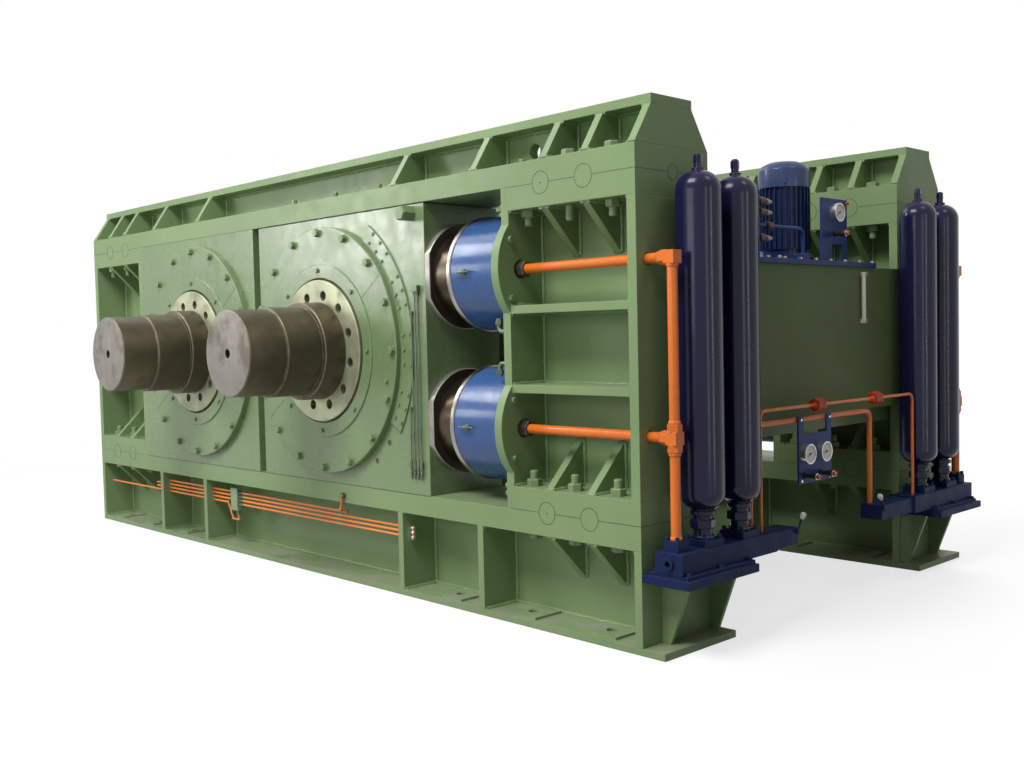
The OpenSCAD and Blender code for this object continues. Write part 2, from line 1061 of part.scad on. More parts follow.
// upright motor with cooling fins and a domed fan cowl
module pump_motor() {
    cowl_r = motor_r + cowl_over;
    body_z = motor_neck_h + motor_len;
    color("#24386b")
        translate([dx(motor_d), y_front + motor_y, lid_z]) {
            rotate_extrude()
                polygon([
                    [0, 0], [motor_foot_r, 0], [motor_foot_r, motor_foot_h], [motor_neck_r, motor_foot_h],
                    [motor_neck_r, motor_neck_h], [motor_r - fin_h, motor_neck_h], [motor_r - fin_h, body_z],
                    [cowl_r, body_z], [cowl_r, body_z + cowl_h],
                    [cowl_r - cowl_slope / 3, body_z + cowl_h + cowl_dome * 0.6],
                    [cowl_r - cowl_slope, body_z + cowl_h + cowl_dome], [0, body_z + cowl_h + cowl_dome]
                ]);
            for (i = [0 : fin_count - 1])
                rotate([0, 0, (i + 0.5) * 360 / fin_count])
                    translate([motor_r - fin_h - join, -fin_t / 2, motor_neck_h + fin_end])
                        cube([fin_h + join, fin_t, motor_len - 2 * fin_end]);
        }
}

valve_d = 10;
valve_in = 130;
valve_w = 100;
valve_h = 330;
valve_y = lid_y0 + valve_in;
coil_r = 20;
coil_len = 40;
tip_r = 14;
tip_end_r = 6;
tip_len = 40;
coil_rows = [108, 251, 303];
arch_r = 11;
arch_z = 178;
arch_len = 370;
arch_bend = 45;
arch_foot_w = 60;
arch_foot_h = 42;

module coil(z) {
    translate([dx(valve_d + valve_w / 2), y_front + valve_y + valve_w - join, lid_z + z])
        rotate([-90, 0, 0]) {
            cylinder(r = coil_r, h = coil_len + join);
            translate([0, 0, coil_len])
                cylinder(r1 = tip_r, r2 = tip_end_r, h = tip_len + join);
        }
}

// upright valve block with plugs, and an arched pipe back to the tank
module valve_stack() {
    d = valve_d + valve_w / 2;
    y1 = valve_y + valve_w;
    foot_y = y1 + arch_len;
    color("#3a4a70") {
        slab(valve_d, valve_d + valve_w, valve_y, y1, lid_z, lid_z + valve_h);
        for (z = coil_rows)
            coil(z);
        translate([dx(d), y_front + y1 - join, lid_z + arch_z])
            rotate([-90, 0, 0])
                cylinder(r = coil_r + tip_end_r, h = coil_len, $fn = 6);
        bar_y(d, y1 - join, lid_z + arch_z, arch_r, arch_len - arch_bend + join);
        pipe_bend(d, foot_y - arch_bend, lid_z + arch_z - arch_bend, arch_bend, arch_r, 0);
        bar_z(d, foot_y, lid_z + join, arch_r, arch_z - arch_bend - join);
        slab(d - arch_foot_w / 2, d + arch_foot_w / 2, foot_y - arch_foot_w / 2, foot_y + arch_foot_w / 2,
            lid_z, lid_z + arch_foot_h);
    }
}

stand_d = 60;
stand_back = 421;
stand_y = lid_y1 - stand_back;
stand_w = 287;
stand_h = 371;
stand_t = 10;
stand_leg = 118;
stand_notch = 110;
stand_notch_h = 107;

module gauge_stand() {
    color("#2d4a86")
        difference() {
            slab(stand_d, stand_d + stand_t, stand_y, stand_y + stand_w, lid_z, lid_z + stand_h);
            slab(stand_d - join, stand_d + stand_t + join, stand_y + stand_leg, stand_y + stand_leg + stand_notch,
                lid_z - join, lid_z + stand_notch_h);
        }
}

level_back = 117;
level_y = lid_y1 - level_back;
level_top = 30;
level_len = 300;
level_r = 13;
level_out = 32;
level_eye = 24;

// sight tube between two eyes on the tank face
module level_gauge() {
    z1 = lid_z0 - level_top;
    z0 = z1 - level_len;
    color("#d8d8cc") {
        for (z = [z0, z1 - level_eye])
            slab(-tank_out - level_out, -tank_out, level_y - level_eye / 2, level_y + level_eye / 2, z, z + level_eye);
        bar_z(-tank_out - level_out / 2, level_y, z0 + join, level_r, level_len - 2 * join);
    }
}

// Cross pipes between the two manifolds, and the gauge panel that hangs on them

thick_r = 15;
thick_in = 35;
thick_x = mani_x - thick_in;
thick_z = 1040;
thick_far = 330;
thick_y1 = span - mani_y1 - thick_far;
thick_bend = 45;
thin_r = 9;
thin_out = 30;
thin_x = mani_x + thin_out;
thin_z = 1118;
thin_y1 = span - leg_y;
thin_bend = 40;
union_r = 34;
union_len = 66;
union_1 = 348;
union_2 = 249;

module cross_pipe(x, y1, z, r, bend, foot_z) {
    bar_z(-x, leg_y, mani_z, r, z - bend - mani_z);
    pipe_bend(-x, leg_y + bend, z - bend, bend, r, 90);
    bar_y(-x, leg_y + bend, z, r, y1 - leg_y - 2 * bend);
    pipe_bend(-x, y1 - bend, z - bend, bend, r, 0);
    bar_z(-x, y1, foot_z, r, z - bend - foot_z);
}

module union_nuts(y) {
    translate([dx(-thin_x), y_front + y - union_len / 2, thin_z])
        rotate([-90, 0, 0]) {
            cylinder(r = union_r, h = union_len / 2, $fn = 6);
            translate([0, 0, union_len / 2 - join])
                cylinder(r = union_r - 2 * join - thin_r / 2, h = union_len / 2 + join, $fn = 6);
        }
}

module cross_pipes() {
    color("#e8741c") {
        cross_pipe(thick_x, thick_y1, thick_z, thick_r, thick_bend, end_z);
        cross_pipe(thin_x, thin_y1, thin_z, thin_r, thin_bend, mani_z);
        union_nuts(lid_y0 + union_1);
        union_nuts(lid_y1 - union_2);
    }
}

panel_in = 220;
panel_y = lid_y0 + panel_in;
panel_w = 330;
panel_h = 266;
panel_t = 10;
panel_leg = 47;
panel_drop = 77;
panel_over = 20;
panel_x = dx(-thick_x) + thick_r + seat_gap;
panel_z = thick_z - panel_drop - panel_h;

module gauge_panel() {
    color("#2d4a86")
        translate([panel_x, y_front + panel_y, panel_z])
            difference() {
                cube([panel_t, panel_w, panel_h + panel_drop + panel_over]);
                translate([-join, panel_leg, panel_h])
                    cube([panel_t + 2 * join, panel_w - 2 * panel_leg, panel_drop + panel_over + join]);
            }
}

gauge_r = 54;
gauge_t = 40;
gauge_rim = 5;
gauge_deep = 6;
gauge_in = 56;
gauge_pitch = 164;
gauge_up = 161;
tap_up = 42;
stand_gauge_up = 289;
stand_tap_up = 166;
tap_r = 12;
tap_len = 40;
hand_r = 17;
hand_len = 35;
hand_tip_r = 12;
hand_tip_len = 18;

// round pressure gauge with a sunk dial
module gauge(x, y, z) {
    translate([x, y_front + y, z])
        rotate([0, 90, 0])
            difference() {
                cylinder(r = gauge_r, h = gauge_t);
                translate([0, 0, gauge_t - gauge_deep])
                    cylinder(r = gauge_r - gauge_rim, h = gauge_deep + join);
            }
}

// needle valve with a round hand knob
module tap(x, y, z) {
    translate([x, y_front + y, z])
        rotate([0, 90, 0]) {
            cylinder(r = tap_r, h = tap_len + join);
            translate([0, 0, tap_len])
                cylinder(r = hand_r, h = hand_len + join);
            translate([0, 0, tap_len + hand_len])
                cylinder(r = hand_tip_r, h = hand_tip_len);
        }
}

module gauges() {
    color("#c8c8c0") {
        for (y = [panel_y + gauge_in, panel_y + gauge_in + gauge_pitch]) {
            gauge(panel_x + panel_t, y, panel_z + gauge_up);
            tap(panel_x + panel_t, y, panel_z + tap_up);
        }
        gauge(dx(stand_d), stand_y + stand_w / 2, lid_z + stand_gauge_up);
        tap(dx(stand_d), stand_y + stand_w / 2, lid_z + stand_tap_up);
    }
}

// Grease pipes along the lower beam

lube_y = 60;
lube_front = -12;
lube_drop = 72;
lube_z = lower_z1 - lube_drop;
lube_step = 28;
lube_r = 8;
lube_low = lube_z - 3 * lube_step;
// faces of the ribs that the pipes end at
lube_right = rib_4 - rib_t / 2 - seat_gap;
lube_left = frame_len - rib_3 + rib_t / 2 + seat_gap;
lube_tail = 36;
lube_nut_r = 14;
lube_nut_t = 28;
// the block that joins the pipes, and the loop that leads the lowest pipe under it
lube_block_w = 89;
lube_block_d = frame_len - rib_4 - 399;
lube_block_y = 20;
lube_block_over = 29;
lube_block_z = lube_low - 46;
lube_turn_d = lube_block_d + lube_block_w + 76;
lube_loop_z = lube_block_z - 70;
lube_loop_d0 = lube_block_d + 17;
lube_loop_d1 = lube_block_d + lube_block_w + 8;
// the branch of the highest pipe, which rises in front of the flange
branch_d = rib_4 + 702;
branch_end = 80;
branch_rise = 32;
branch_top = 110;
// the thinner pipes behind the rows, their elbows, and the points where they turn
lube_thin_r = 7;
elbow_r = 11;
elbow_cut = 7.6;
lead_end = 85;
loop_0 = [lube_turn_d, lube_y, lube_low];
loop_1 = [lube_loop_d1, lube_y, lube_loop_z];
loop_2 = [lube_loop_d0, lube_y, lube_loop_z];
branch_1 = [branch_d - 106, lube_front, lube_z + branch_rise];

// a thin pipe between two points of distance, depth and height, cut back at its ends
module thin_pipe(a, b, cut_a, cut_b) {
    v = [a[0] - b[0], b[1] - a[1], b[2] - a[2]];
    translate([dx(a[0]), y_front + a[1], a[2]])
        rotate([0, acos(v[2] / norm(v)), atan2(v[1], v[0])])
            translate([0, 0, cut_a])
                cylinder(r = lube_thin_r, h = norm(v) - cut_a - cut_b);
}

// a round elbow that takes two pipe ends
module elbow(a) {
    translate([dx(a[0]), y_front + a[1], a[2]])
        sphere(r = elbow_r);
}

module lube_rows(r, over) {
    bar_x(branch_d - branch_end - over, lube_y, lube_z, r, lube_left + lube_tail - branch_d + branch_end + 2 * over);
    for (i = [1, 2])
        bar_x(lube_right - lube_tail - over, lube_y, lube_z - i * lube_step, r,
            lube_left + 5 * lube_tail - lube_right + lube_tail + 2 * over);
    bar_x(lube_right - lube_tail - over, lube_y, lube_low, r, lube_block_d - lube_right + lube_tail + lube_r + 2 * over);
    bar_x(lube_turn_d - over, lube_y, lube_low, r, frame_len - lead_end - lube_turn_d + 2 * over);
}

module lube_pipes() {
    color("#d9772f") {
        lube_rows(lube_r, 0);
        slab(lube_block_d, lube_block_d + lube_block_w, lube_y - lube_block_y, lube_y + lube_block_y,
            lube_block_z, lube_z + lube_block_over);
        for (i = [1 : 3])
            bar_x(lube_right - lube_nut_t, lube_y, lube_z - i * lube_step, lube_nut_r - join, lube_nut_t);
        elbow(loop_0);
        elbow(loop_1);
        elbow(loop_2);
        thin_pipe(loop_0, loop_1, elbow_cut, elbow_cut);
        thin_pipe(loop_1, loop_2, elbow_cut, elbow_cut);
        thin_pipe(loop_2, [lube_loop_d0, lube_y, lube_block_z], elbow_cut, -join);
        elbow(branch_1);
        thin_pipe([branch_d, lube_y, lube_z], branch_1, 0, elbow_cut);
        thin_pipe(branch_1, [branch_d - 127, lube_front, lube_z + branch_top], elbow_cut, 0);
        bar_y(branch_d - 130, lube_front - lube_nut_r, lube_z + branch_top + lube_r, 2 * lube_r,
            lube_nut_r - lube_front - seat_gap);
    }
}

sole_plates();
lower_flanges();
upper_flanges();
top_plates();
beam_webs();
near_beam_ribs();
far_beam_ribs();
near_column_flanges();
far_column_flanges();
near_column_plates();
far_column_plates();
column_webs();
column_stiffeners();
joint_keys();
near_fixed_housing();
far_fixed_housing();
near_moving_housing();
far_moving_housing();
near_fixed_cover();
far_fixed_cover();
near_moving_cover();
far_moving_cover();
thrust_barrels();
gland_rings();
thrust_rams();
fixed_shaft();
fixed_roll();
fixed_retainer();
moving_shaft();
moving_roll();
moving_retainer();
manifold_brackets();
manifold_plates();
manifold_blocks();
oil_bottles();
pressure_pipes();
tank_beams();
oil_tank();
tank_lid();
pump_motor();
valve_stack();
gauge_stand();
level_gauge();
gauge_panel();
gauges();
cross_pipes();
lube_pipes();
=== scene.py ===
import bmesh
import bpy
import math
from mathutils import Matrix, Vector


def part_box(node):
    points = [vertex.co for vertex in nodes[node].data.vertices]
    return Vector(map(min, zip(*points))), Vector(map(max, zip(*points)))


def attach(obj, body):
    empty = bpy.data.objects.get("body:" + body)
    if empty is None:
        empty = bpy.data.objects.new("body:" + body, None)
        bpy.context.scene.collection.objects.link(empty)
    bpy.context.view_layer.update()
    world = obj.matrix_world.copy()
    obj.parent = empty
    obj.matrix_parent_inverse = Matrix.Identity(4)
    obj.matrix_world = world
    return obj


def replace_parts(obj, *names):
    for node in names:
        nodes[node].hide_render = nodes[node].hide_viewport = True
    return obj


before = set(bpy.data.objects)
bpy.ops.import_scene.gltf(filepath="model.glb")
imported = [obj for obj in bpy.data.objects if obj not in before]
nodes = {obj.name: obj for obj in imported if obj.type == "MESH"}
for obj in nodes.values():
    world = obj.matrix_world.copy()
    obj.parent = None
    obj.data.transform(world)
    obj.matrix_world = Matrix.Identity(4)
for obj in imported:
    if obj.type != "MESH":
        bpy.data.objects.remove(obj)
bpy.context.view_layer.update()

# Studio
# A pale plain floor that fades into a white backdrop, soft lamps and a low world light.
# The camera stands where the picture was taken, at eye height off the thrust end.
AMBIENT, FLOOR_GLOW, FLOOR_GREY = 0.15, 0.70, 0.33
FLOOR_HALF, FLOOR_DROP, FADE_NEAR, FADE_FAR = 60, 0.001, 3.6, 8.5
EYE, YAW, PITCH, ROLL = (6.17076, -5.15385, 1.5386), 0.811112, -0.0468251, -0.0225724
LENS, SENSOR, SIGHT = 38.30, 36.0, 200
scene = bpy.context.scene
scene.view_settings.view_transform = "Standard"


def fill(tree, made, **values):
    # gives a node its settings and inputs by name; a socket given as a value is linked
    for key, value in values.items():
        label = key.replace("_", " ")
        if isinstance(value, bpy.types.NodeSocket):
            tree.links.new(value, made.inputs[label])
        elif hasattr(made, key):
            setattr(made, key, value)
        else:
            made.inputs[label].default_value = value
    return made


def add_node(tree, kind, **values):
    return fill(tree, tree.nodes.new(kind), **values)


def wire(tree, made, *values):
    # links or sets the inputs of a node in their order and returns its first output
    for index, value in enumerate(values):
        if isinstance(value, bpy.types.NodeSocket):
            tree.links.new(value, made.inputs[index])
        else:
            made.inputs[index].default_value = value
    return next(iter(made.outputs), None)


def calc(tree, operation, *values):
    return wire(tree, add_node(tree, "ShaderNodeMath", operation=operation), *values)


def mix_shader(tree, mask, first, second):
    return wire(tree, add_node(tree, "ShaderNodeMixShader"), mask, first, second)


def object_place(tree):
    return add_node(tree, "ShaderNodeTexCoord").outputs["Object"]


def seen_mask(tree):
    # 1 for rays that show the backdrop: straight views, mirrored ones and those through glass
    ray = add_node(tree, "ShaderNodeLightPath").outputs
    clear = calc(tree, "MAXIMUM", ray["Is Camera Ray"], ray["Is Transmission Ray"])
    return calc(tree, "MAXIMUM", clear, ray["Is Glossy Ray"])


world = bpy.data.worlds.new("studio")
scene.world = world
world.use_nodes = True
sky = world.node_tree
sky.nodes.clear()
dim, white = (add_node(sky, "ShaderNodeBackground", Color=(1, 1, 1, 1), Strength=strength).outputs[0]
              for strength in (AMBIENT, 1.0))
wire(sky, add_node(sky, "ShaderNodeOutputWorld"), mix_shader(sky, seen_mask(sky), dim, white))

floor_mesh = bpy.data.meshes.new("floor")
corners = [(x * FLOOR_HALF, y * FLOOR_HALF, -FLOOR_DROP) for x, y in ((-1, -1), (1, -1), (1, 1), (-1, 1))]
floor_mesh.from_pydata(corners, [], [(0, 1, 2, 3)])
floor = bpy.data.objects.new("floor", floor_mesh)
scene.collection.objects.link(floor)
floor_look = bpy.data.materials.new("pale_floor")
floor_look.use_nodes = True
tree = floor_look.node_tree
tree.nodes.clear()
away = add_node(tree, "ShaderNodeVectorMath", operation="LENGTH")
wire(tree, away, object_place(tree))
fade = add_node(tree, "ShaderNodeMapRange", interpolation_type="SMOOTHSTEP", Value=away.outputs["Value"],
                From_Min=FADE_NEAR, From_Max=FADE_FAR).outputs[0]
matt = add_node(tree, "ShaderNodeBsdfDiffuse", Color=(FLOOR_GREY, FLOOR_GREY, FLOOR_GREY, 1)).outputs[0]
dark, glow, full = (add_node(tree, "ShaderNodeEmission", Strength=strength).outputs[0]
                    for strength in (0.0, FLOOR_GLOW, 1.0))
seen = seen_mask(tree)
ground = wire(tree, add_node(tree, "ShaderNodeAddShader"), matt, mix_shader(tree, seen, dark, glow))
ground = mix_shader(tree, calc(tree, "MULTIPLY", fade, seen), ground, full)
wire(tree, add_node(tree, "ShaderNodeOutputMaterial"), ground)
floor_mesh.materials.append(floor_look)


def soft_lamp(name, place, aim, width, height, power, glare_only=False, matt_only=False):
    lamp = bpy.data.lights.new(name, "AREA")
    lamp.shape = "RECTANGLE"
    lamp.size, lamp.size_y, lamp.energy = width, height, power
    lamp_object = bpy.data.objects.new(name, lamp)
    lamp_object.location = place
    lamp_object.rotation_euler = (Vector(aim) - Vector(place)).to_track_quat("-Z", "Y").to_euler()
    lamp_object.visible_diffuse = not glare_only
    lamp_object.visible_glossy = not matt_only
    scene.collection.objects.link(lamp_object)


soft_lamp("window_light", (2.0, -7.2, 9.6), (0.9, -1.0, 1.2), 5.5, 3.5, 1050)
soft_lamp("front_fill", (2.0, -10.8, 3.0), (0.8, -1.0, 0.8), 6.0, 3.0, 190)
soft_lamp("rear_fill", (-1.5, 9.5, 6.5), (-0.2, 1.2, 1.2), 6.0, 4.0, 900, matt_only=True)
soft_lamp("glare_light", (-4.7, -5.5, 2.95), (0.8, -1.2, 2.15), 2.0, 1.3, 125)
soft_lamp("roof_light", (-5.0, -1.2, 8.0), (0.2, 0.2, 1.4), 5.0, 4.0, 190)
soft_lamp("end_light", (6.6, 0.8, 8.0), (2.9, 0.6, 2.2), 2.0, 2.0, 58)
soft_lamp("barrel_light", (-2.9, -3.7, 5.0), (1.6, -1.2, 1.6), 1.5, 1.5, 110, glare_only=True)
soft_lamp("door_light", (8.5, 0.0, 1.9), (3.0, -0.9, 1.5), 0.30, 3.6, 36, glare_only=True)
soft_lamp("gate_light", (8.3, -2.5, 1.9), (3.0, -0.9, 1.5), 0.80, 3.6, 26, glare_only=True)

ahead = Vector((-math.sin(YAW) * math.cos(PITCH), math.cos(YAW) * math.cos(PITCH), math.sin(PITCH)))
level = Vector((math.cos(YAW), math.sin(YAW), 0))
upright = level.cross(ahead)
cam_x = math.cos(ROLL) * level + math.sin(ROLL) * upright
cam_y = -math.sin(ROLL) * level + math.cos(ROLL) * upright
camera_data = bpy.data.cameras.new("eye")
camera_data.lens, camera_data.sensor_width, camera_data.clip_end = LENS, SENSOR, SIGHT
camera = bpy.data.objects.new("eye", camera_data)
scene.collection.objects.link(camera)
camera.matrix_world = Matrix.Translation(EYE) @ Matrix((cam_x, cam_y, -ahead)).transposed().to_4x4()
scene.camera = camera

# Side frames: plates
# Thick flame-cut steel plates, welded into two box-like frames and sprayed with sage machine enamel.
# The enamel is slightly patchy, thin along the plate edges, and dusty near the floor and on level faces.
SAGE, SAGE_PALE, DUST = (0.197, 0.287, 0.131), (0.300, 0.385, 0.236), (0.300, 0.300, 0.235)


def shader_group(name, inputs, outputs):
    # a node group with the defaults of its inputs; a default of four numbers is a colour
    made = bpy.data.node_groups.new(name, "ShaderNodeTree")
    for label, value in inputs.items():
        kind = "NodeSocketColor" if isinstance(value, tuple) else "NodeSocketFloat"
        made.interface.new_socket(label, in_out="INPUT", socket_type=kind).default_value = value
    for label, kind in outputs.items():
        made.interface.new_socket(label, in_out="OUTPUT", socket_type="NodeSocket" + kind)
    return made, add_node(made, "NodeGroupInput").outputs, add_node(made, "NodeGroupOutput")


def noise(tree, vector, scale, detail=3.0):
    return add_node(tree, "ShaderNodeTexNoise", Vector=vector, Scale=scale, Detail=detail).outputs["Fac"]


def spread(tree, value, low, high, to_low=0.0, to_high=1.0):
    return add_node(tree, "ShaderNodeMapRange", Value=value, From_Min=low, From_Max=high,
                    To_Min=to_low, To_Max=to_high).outputs[0]


def blend_colour(tree, mask, first, second):
    # mixes two colours by a mask; they are the seventh and eighth inputs of the node
    mix = add_node(tree, "ShaderNodeMix", data_type="RGBA")
    for index, value in ((0, mask), (6, first), (7, second)):
        if isinstance(value, bpy.types.NodeSocket):
            tree.links.new(value, mix.inputs[index])
        else:
            mix.inputs[index].default_value = (*value, 1)
    return mix.outputs[2]


# worn and rounded edges: a mask along the edges and a normal that rolls over them; the mask gives paint wear
# on the enamels, lightened edges on dark metal and a painted highlight on turned steel
edges_group, enter, leave = shader_group("worn_and_glint_edges", {"Radius": 0.006, "Breakup": 26.0},
                                         {"Mask": "Float", "Normal": "Vector"})
rounded = add_node(edges_group, "ShaderNodeBevel", samples=4, Radius=enter["Radius"]).outputs[0]
facing = add_node(edges_group, "ShaderNodeNewGeometry").outputs["Normal"]
dot = add_node(edges_group, "ShaderNodeVectorMath", operation="DOT_PRODUCT")
wire(edges_group, dot, rounded, facing)
bent = spread(edges_group, dot.outputs["Value"], 0.995, 0.86)
speckle = noise(edges_group, object_place(edges_group), enter["Breakup"], 4.0)
worn = calc(edges_group, "MULTIPLY", bent, spread(edges_group, speckle, 0.40, 0.62))
wire(edges_group, leave, worn, rounded)

# patchy tone: slow drifts of shade in a sprayed or handled surface
tone_group, enter, leave = shader_group("patchy_tone", {"Color": (1, 1, 1, 1), "Depth": 0.12, "Scale": 1.3},
                                        {"Color": "Color", "Cloud": "Float"})
drift = noise(tone_group, object_place(tone_group), enter["Scale"], 5.0)
cloud = spread(tone_group, drift, 0.3, 0.7, -1.0, 1.0)
gain = calc(tone_group, "MULTIPLY_ADD", cloud, enter["Depth"], 1.0)
shade = add_node(tone_group, "ShaderNodeVectorMath", operation="SCALE", Scale=gain)
wire(tone_group, leave, wire(tone_group, shade, enter["Color"]), cloud)

# settled dust: on faces that look up, and as a thin film near the floor
dust_group, enter, leave = shader_group("settled_dust", {"Amount": 0.5, "Reach": 0.5}, {"Mask": "Float"})
where = object_place(dust_group)
facing = add_node(dust_group, "ShaderNodeNewGeometry").outputs["True Normal"]
height, lie = (add_node(dust_group, "ShaderNodeSeparateXYZ", Vector=v).outputs["Z"] for v in (where, facing))
low_share = calc(dust_group, "SUBTRACT", 1.0, calc(dust_group, "DIVIDE", height, enter["Reach"]))
low_film = calc(dust_group, "MULTIPLY", calc(dust_group, "MAXIMUM", low_share, 0.0), 0.35)
film = calc(dust_group, "MAXIMUM", spread(dust_group, lie, 0.75, 1.0), low_film)
grains = spread(dust_group, noise(dust_group, where, 7.0, 6.0), 0.34, 0.66)
film = calc(dust_group, "MULTIPLY", film, grains)
wire(dust_group, leave, calc(dust_group, "MULTIPLY", film, enter["Amount"]))


def use_group(tree, made, **values):
    return add_node(tree, "ShaderNodeGroup", node_tree=made, **values).outputs


def new_look(name, colour=None):
    # a material with its node tree, its surface node and its object coordinates
    look = bpy.data.materials.new(name)
    look.use_nodes = True
    if colour:
        look.diffuse_color = (*colour, 1)
    tree = look.node_tree
    return look, tree, tree.nodes["Principled BSDF"], object_place(tree)


def bumped(tree, height, normal, strength, distance):
    return add_node(tree, "ShaderNodeBump", Strength=strength, Distance=distance, Height=height,
                    Normal=normal).outputs[0]


def enamel(name, colour, worn_colour, rough=0.36, wear=0.5, depth=0.10, dust=0.35, radius=0.006, coat=0.0,
           gloss=0.20):
    look, tree, skin, where = new_look(name, colour)
    tone = use_group(tree, tone_group, Color=(*colour, 1), Depth=depth, Scale=1.1)["Color"]
    edge = use_group(tree, edges_group, Radius=radius)
    film = use_group(tree, dust_group, Amount=dust)["Mask"]
    worn = blend_colour(tree, calc(tree, "MULTIPLY", edge["Mask"], wear), tone, worn_colour)
    sheen = spread(tree, noise(tree, where, 9.0, 5.0), 0.3, 0.7, rough - 0.06, rough + 0.10)
    relief = calc(tree, "MULTIPLY_ADD", noise(tree, where, 4.5, 2.0), 6.0, noise(tree, where, 260.0, 2.0))
    fill(tree, skin, Base_Color=blend_colour(tree, film, worn, DUST),
         Roughness=calc(tree, "MULTIPLY_ADD", film, 0.3, sheen),
         Normal=bumped(tree, relief, edge["Normal"], 0.09, 0.002),
         Specular_IOR_Level=gloss, Coat_Weight=coat, Coat_Roughness=0.12)
    return look


# the frame sage made lighter or darker by a share: lit and shaded copies of the one paint, that is painted
# light and painted shade
def painted_light_sage(share):
    return tuple(share * c for c in SAGE)


def dress(look, *names):
    for name in names:
        nodes[name].data.materials.clear()
        nodes[name].data.materials.append(look)


frame_enamel = enamel("sage_enamel_frame", SAGE, SAGE_PALE)
# the webs get the sage made a little lighter, painted light on the recessed webs
web_enamel_painted_light = enamel("sage_enamel_web_painted_light", painted_light_sage(1.02), SAGE_PALE, rough=0.34)
dress(enamel("sage_enamel_sole", SAGE, SAGE_PALE, rough=0.42, dust=0.7), "sole_plates")
dress(frame_enamel, "lower_flanges", "upper_flanges", "top_plates", "near_beam_ribs", "far_beam_ribs",
      "near_column_flanges", "far_column_flanges", "near_column_plates", "far_column_plates",
      "column_stiffeners", "joint_keys", "manifold_brackets", "tank_beams")
dress(web_enamel_painted_light, "beam_webs", "column_webs")

# Side frames: weld beads
# Fillet welds along every seam of the ribs, webs, flanges and columns, laid by hand and painted over.
# The beads have the close ripple of a manual weld and shine a little more than the flat plate; their sage is
# made 6% lighter as painted light.
END_X, FRONT_Y = 2.8975, -1.231
FRAME_LENGTH, FRAME_WIDTH, SPAN = 6070, 560, 3080
WEB_FACE, RIB_HALF, PLATE_THICK, END_PLATE = 250, 22.5, 55, 45
RIBS_UPPER, RIBS_LOWER, GUSSETS, GUSSET_RISE = (321, 602, 1134, 1843), (1134, 1843), (321, 602), 240
SOLE_TOP, LOWER_UNDER, LOWER_TOP, BAY_LOW = 35, 494, 614, 734
BAY_HIGH, UPPER_LOW, UPPER_FLOOR, UPPER_ROOF = 2172, 2292, 2412, 2605
AXIS_HEIGHT, STIFFENER_RISE, STIFFENER_HALF = 1453, 206, 21.5
COLUMN_INNER, SEAM_FRONT, ROOF_EDGE = 856, 6, 125
SIDES = (False, True)


def at(d, y, z, flip=False):
    # millimetres from the thrust end, the near frame's front and the floor, to the part's own frame;
    # flip mirrors the point to the far frame
    return Vector((END_X - d / 1000, FRONT_Y + (SPAN - y if flip else y) / 1000, z / 1000))


def geometry_tree(name, *labels):
    # a geometry tree with number inputs and a finish
    made = bpy.data.node_groups.new(name, "GeometryNodeTree")
    made.interface.new_socket("Geometry", in_out="INPUT", socket_type="NodeSocketGeometry")
    for label in labels:
        made.interface.new_socket(label, in_out="INPUT", socket_type="NodeSocketFloat")
    made.interface.new_socket("Finish", in_out="INPUT", socket_type="NodeSocketMaterial")
    made.interface.new_socket("Geometry", in_out="OUTPUT", socket_type="NodeSocketGeometry")
    return made, add_node(made, "NodeGroupInput").outputs, add_node(made, "NodeGroupOutput")


def close_tree(made, enter, leave, shape):
    # real meshes in place of copies, in the finish given to the tree
    whole = add_node(made, "GeometryNodeRealizeInstances", Geometry=shape).outputs[0]
    painted = add_node(made, "GeometryNodeSetMaterial", Geometry=whole, Material=enter["Finish"])
    wire(made, leave, painted.outputs[0])


def grow(name, source, made, values, body):
    # runs a geometry tree on a source mesh and keeps the result as one plain mesh on a body
    seed_object = bpy.data.objects.new(name + "_source", source)
    scene.collection.objects.link(seed_object)
    modifier = seed_object.modifiers.new("grow", "NODES")
    modifier.node_group = made
    labels = {item.name: item.identifier for item in made.interface.items_tree if item.in_out == "INPUT"}
    for label, value in values.items():
        modifier[labels[label]] = value
    evaluated = seed_object.evaluated_get(bpy.context.evaluated_depsgraph_get())
    mesh = bpy.data.meshes.new_from_object(evaluated)
    mesh.name = name
    mesh.materials.clear()
    mesh.materials.append(values["Finish"])
    mesh.polygons.foreach_set("material_index", [0] * len(mesh.polygons))
    bpy.data.objects.remove(seed_object)
    piece = bpy.data.objects.new(name, mesh)
    scene.collection.objects.link(piece)
    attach(piece, body)
    return piece


bead_tree, enter, leave = geometry_tree("weld_bead", "Radius", "Step", "Ripple")
path = add_node(bead_tree, "GeometryNodeMeshToCurve", Mesh=enter["Geometry"]).outputs[0]
even = add_node(bead_tree, "GeometryNodeResampleCurve", mode="LENGTH", Curve=path,
                Length=enter["Step"]).outputs[0]
ring = add_node(bead_tree, "GeometryNodeCurvePrimitiveCircle", Resolution=6,
                Radius=enter["Radius"]).outputs[0]
bead = add_node(bead_tree, "GeometryNodeCurveToMesh", Fill_Caps=True, Curve=even,
                Profile_Curve=ring).outputs[0]
grain = noise(bead_tree, add_node(bead_tree, "GeometryNodeInputPosition").outputs[0], 48.0, 2.0)
swell = calc(bead_tree, "MULTIPLY", calc(bead_tree, "SUBTRACT", grain, 0.5), enter["Ripple"])
push = add_node(bead_tree, "ShaderNodeVectorMath", operation="SCALE", Scale=swell)
push = wire(bead_tree, push, add_node(bead_tree, "GeometryNodeInputNormal").outputs[0])
moved = add_node(bead_tree, "GeometryNodeSetPosition", Geometry=bead, Offset=push).outputs[0]
close_tree(bead_tree, enter, leave, moved)


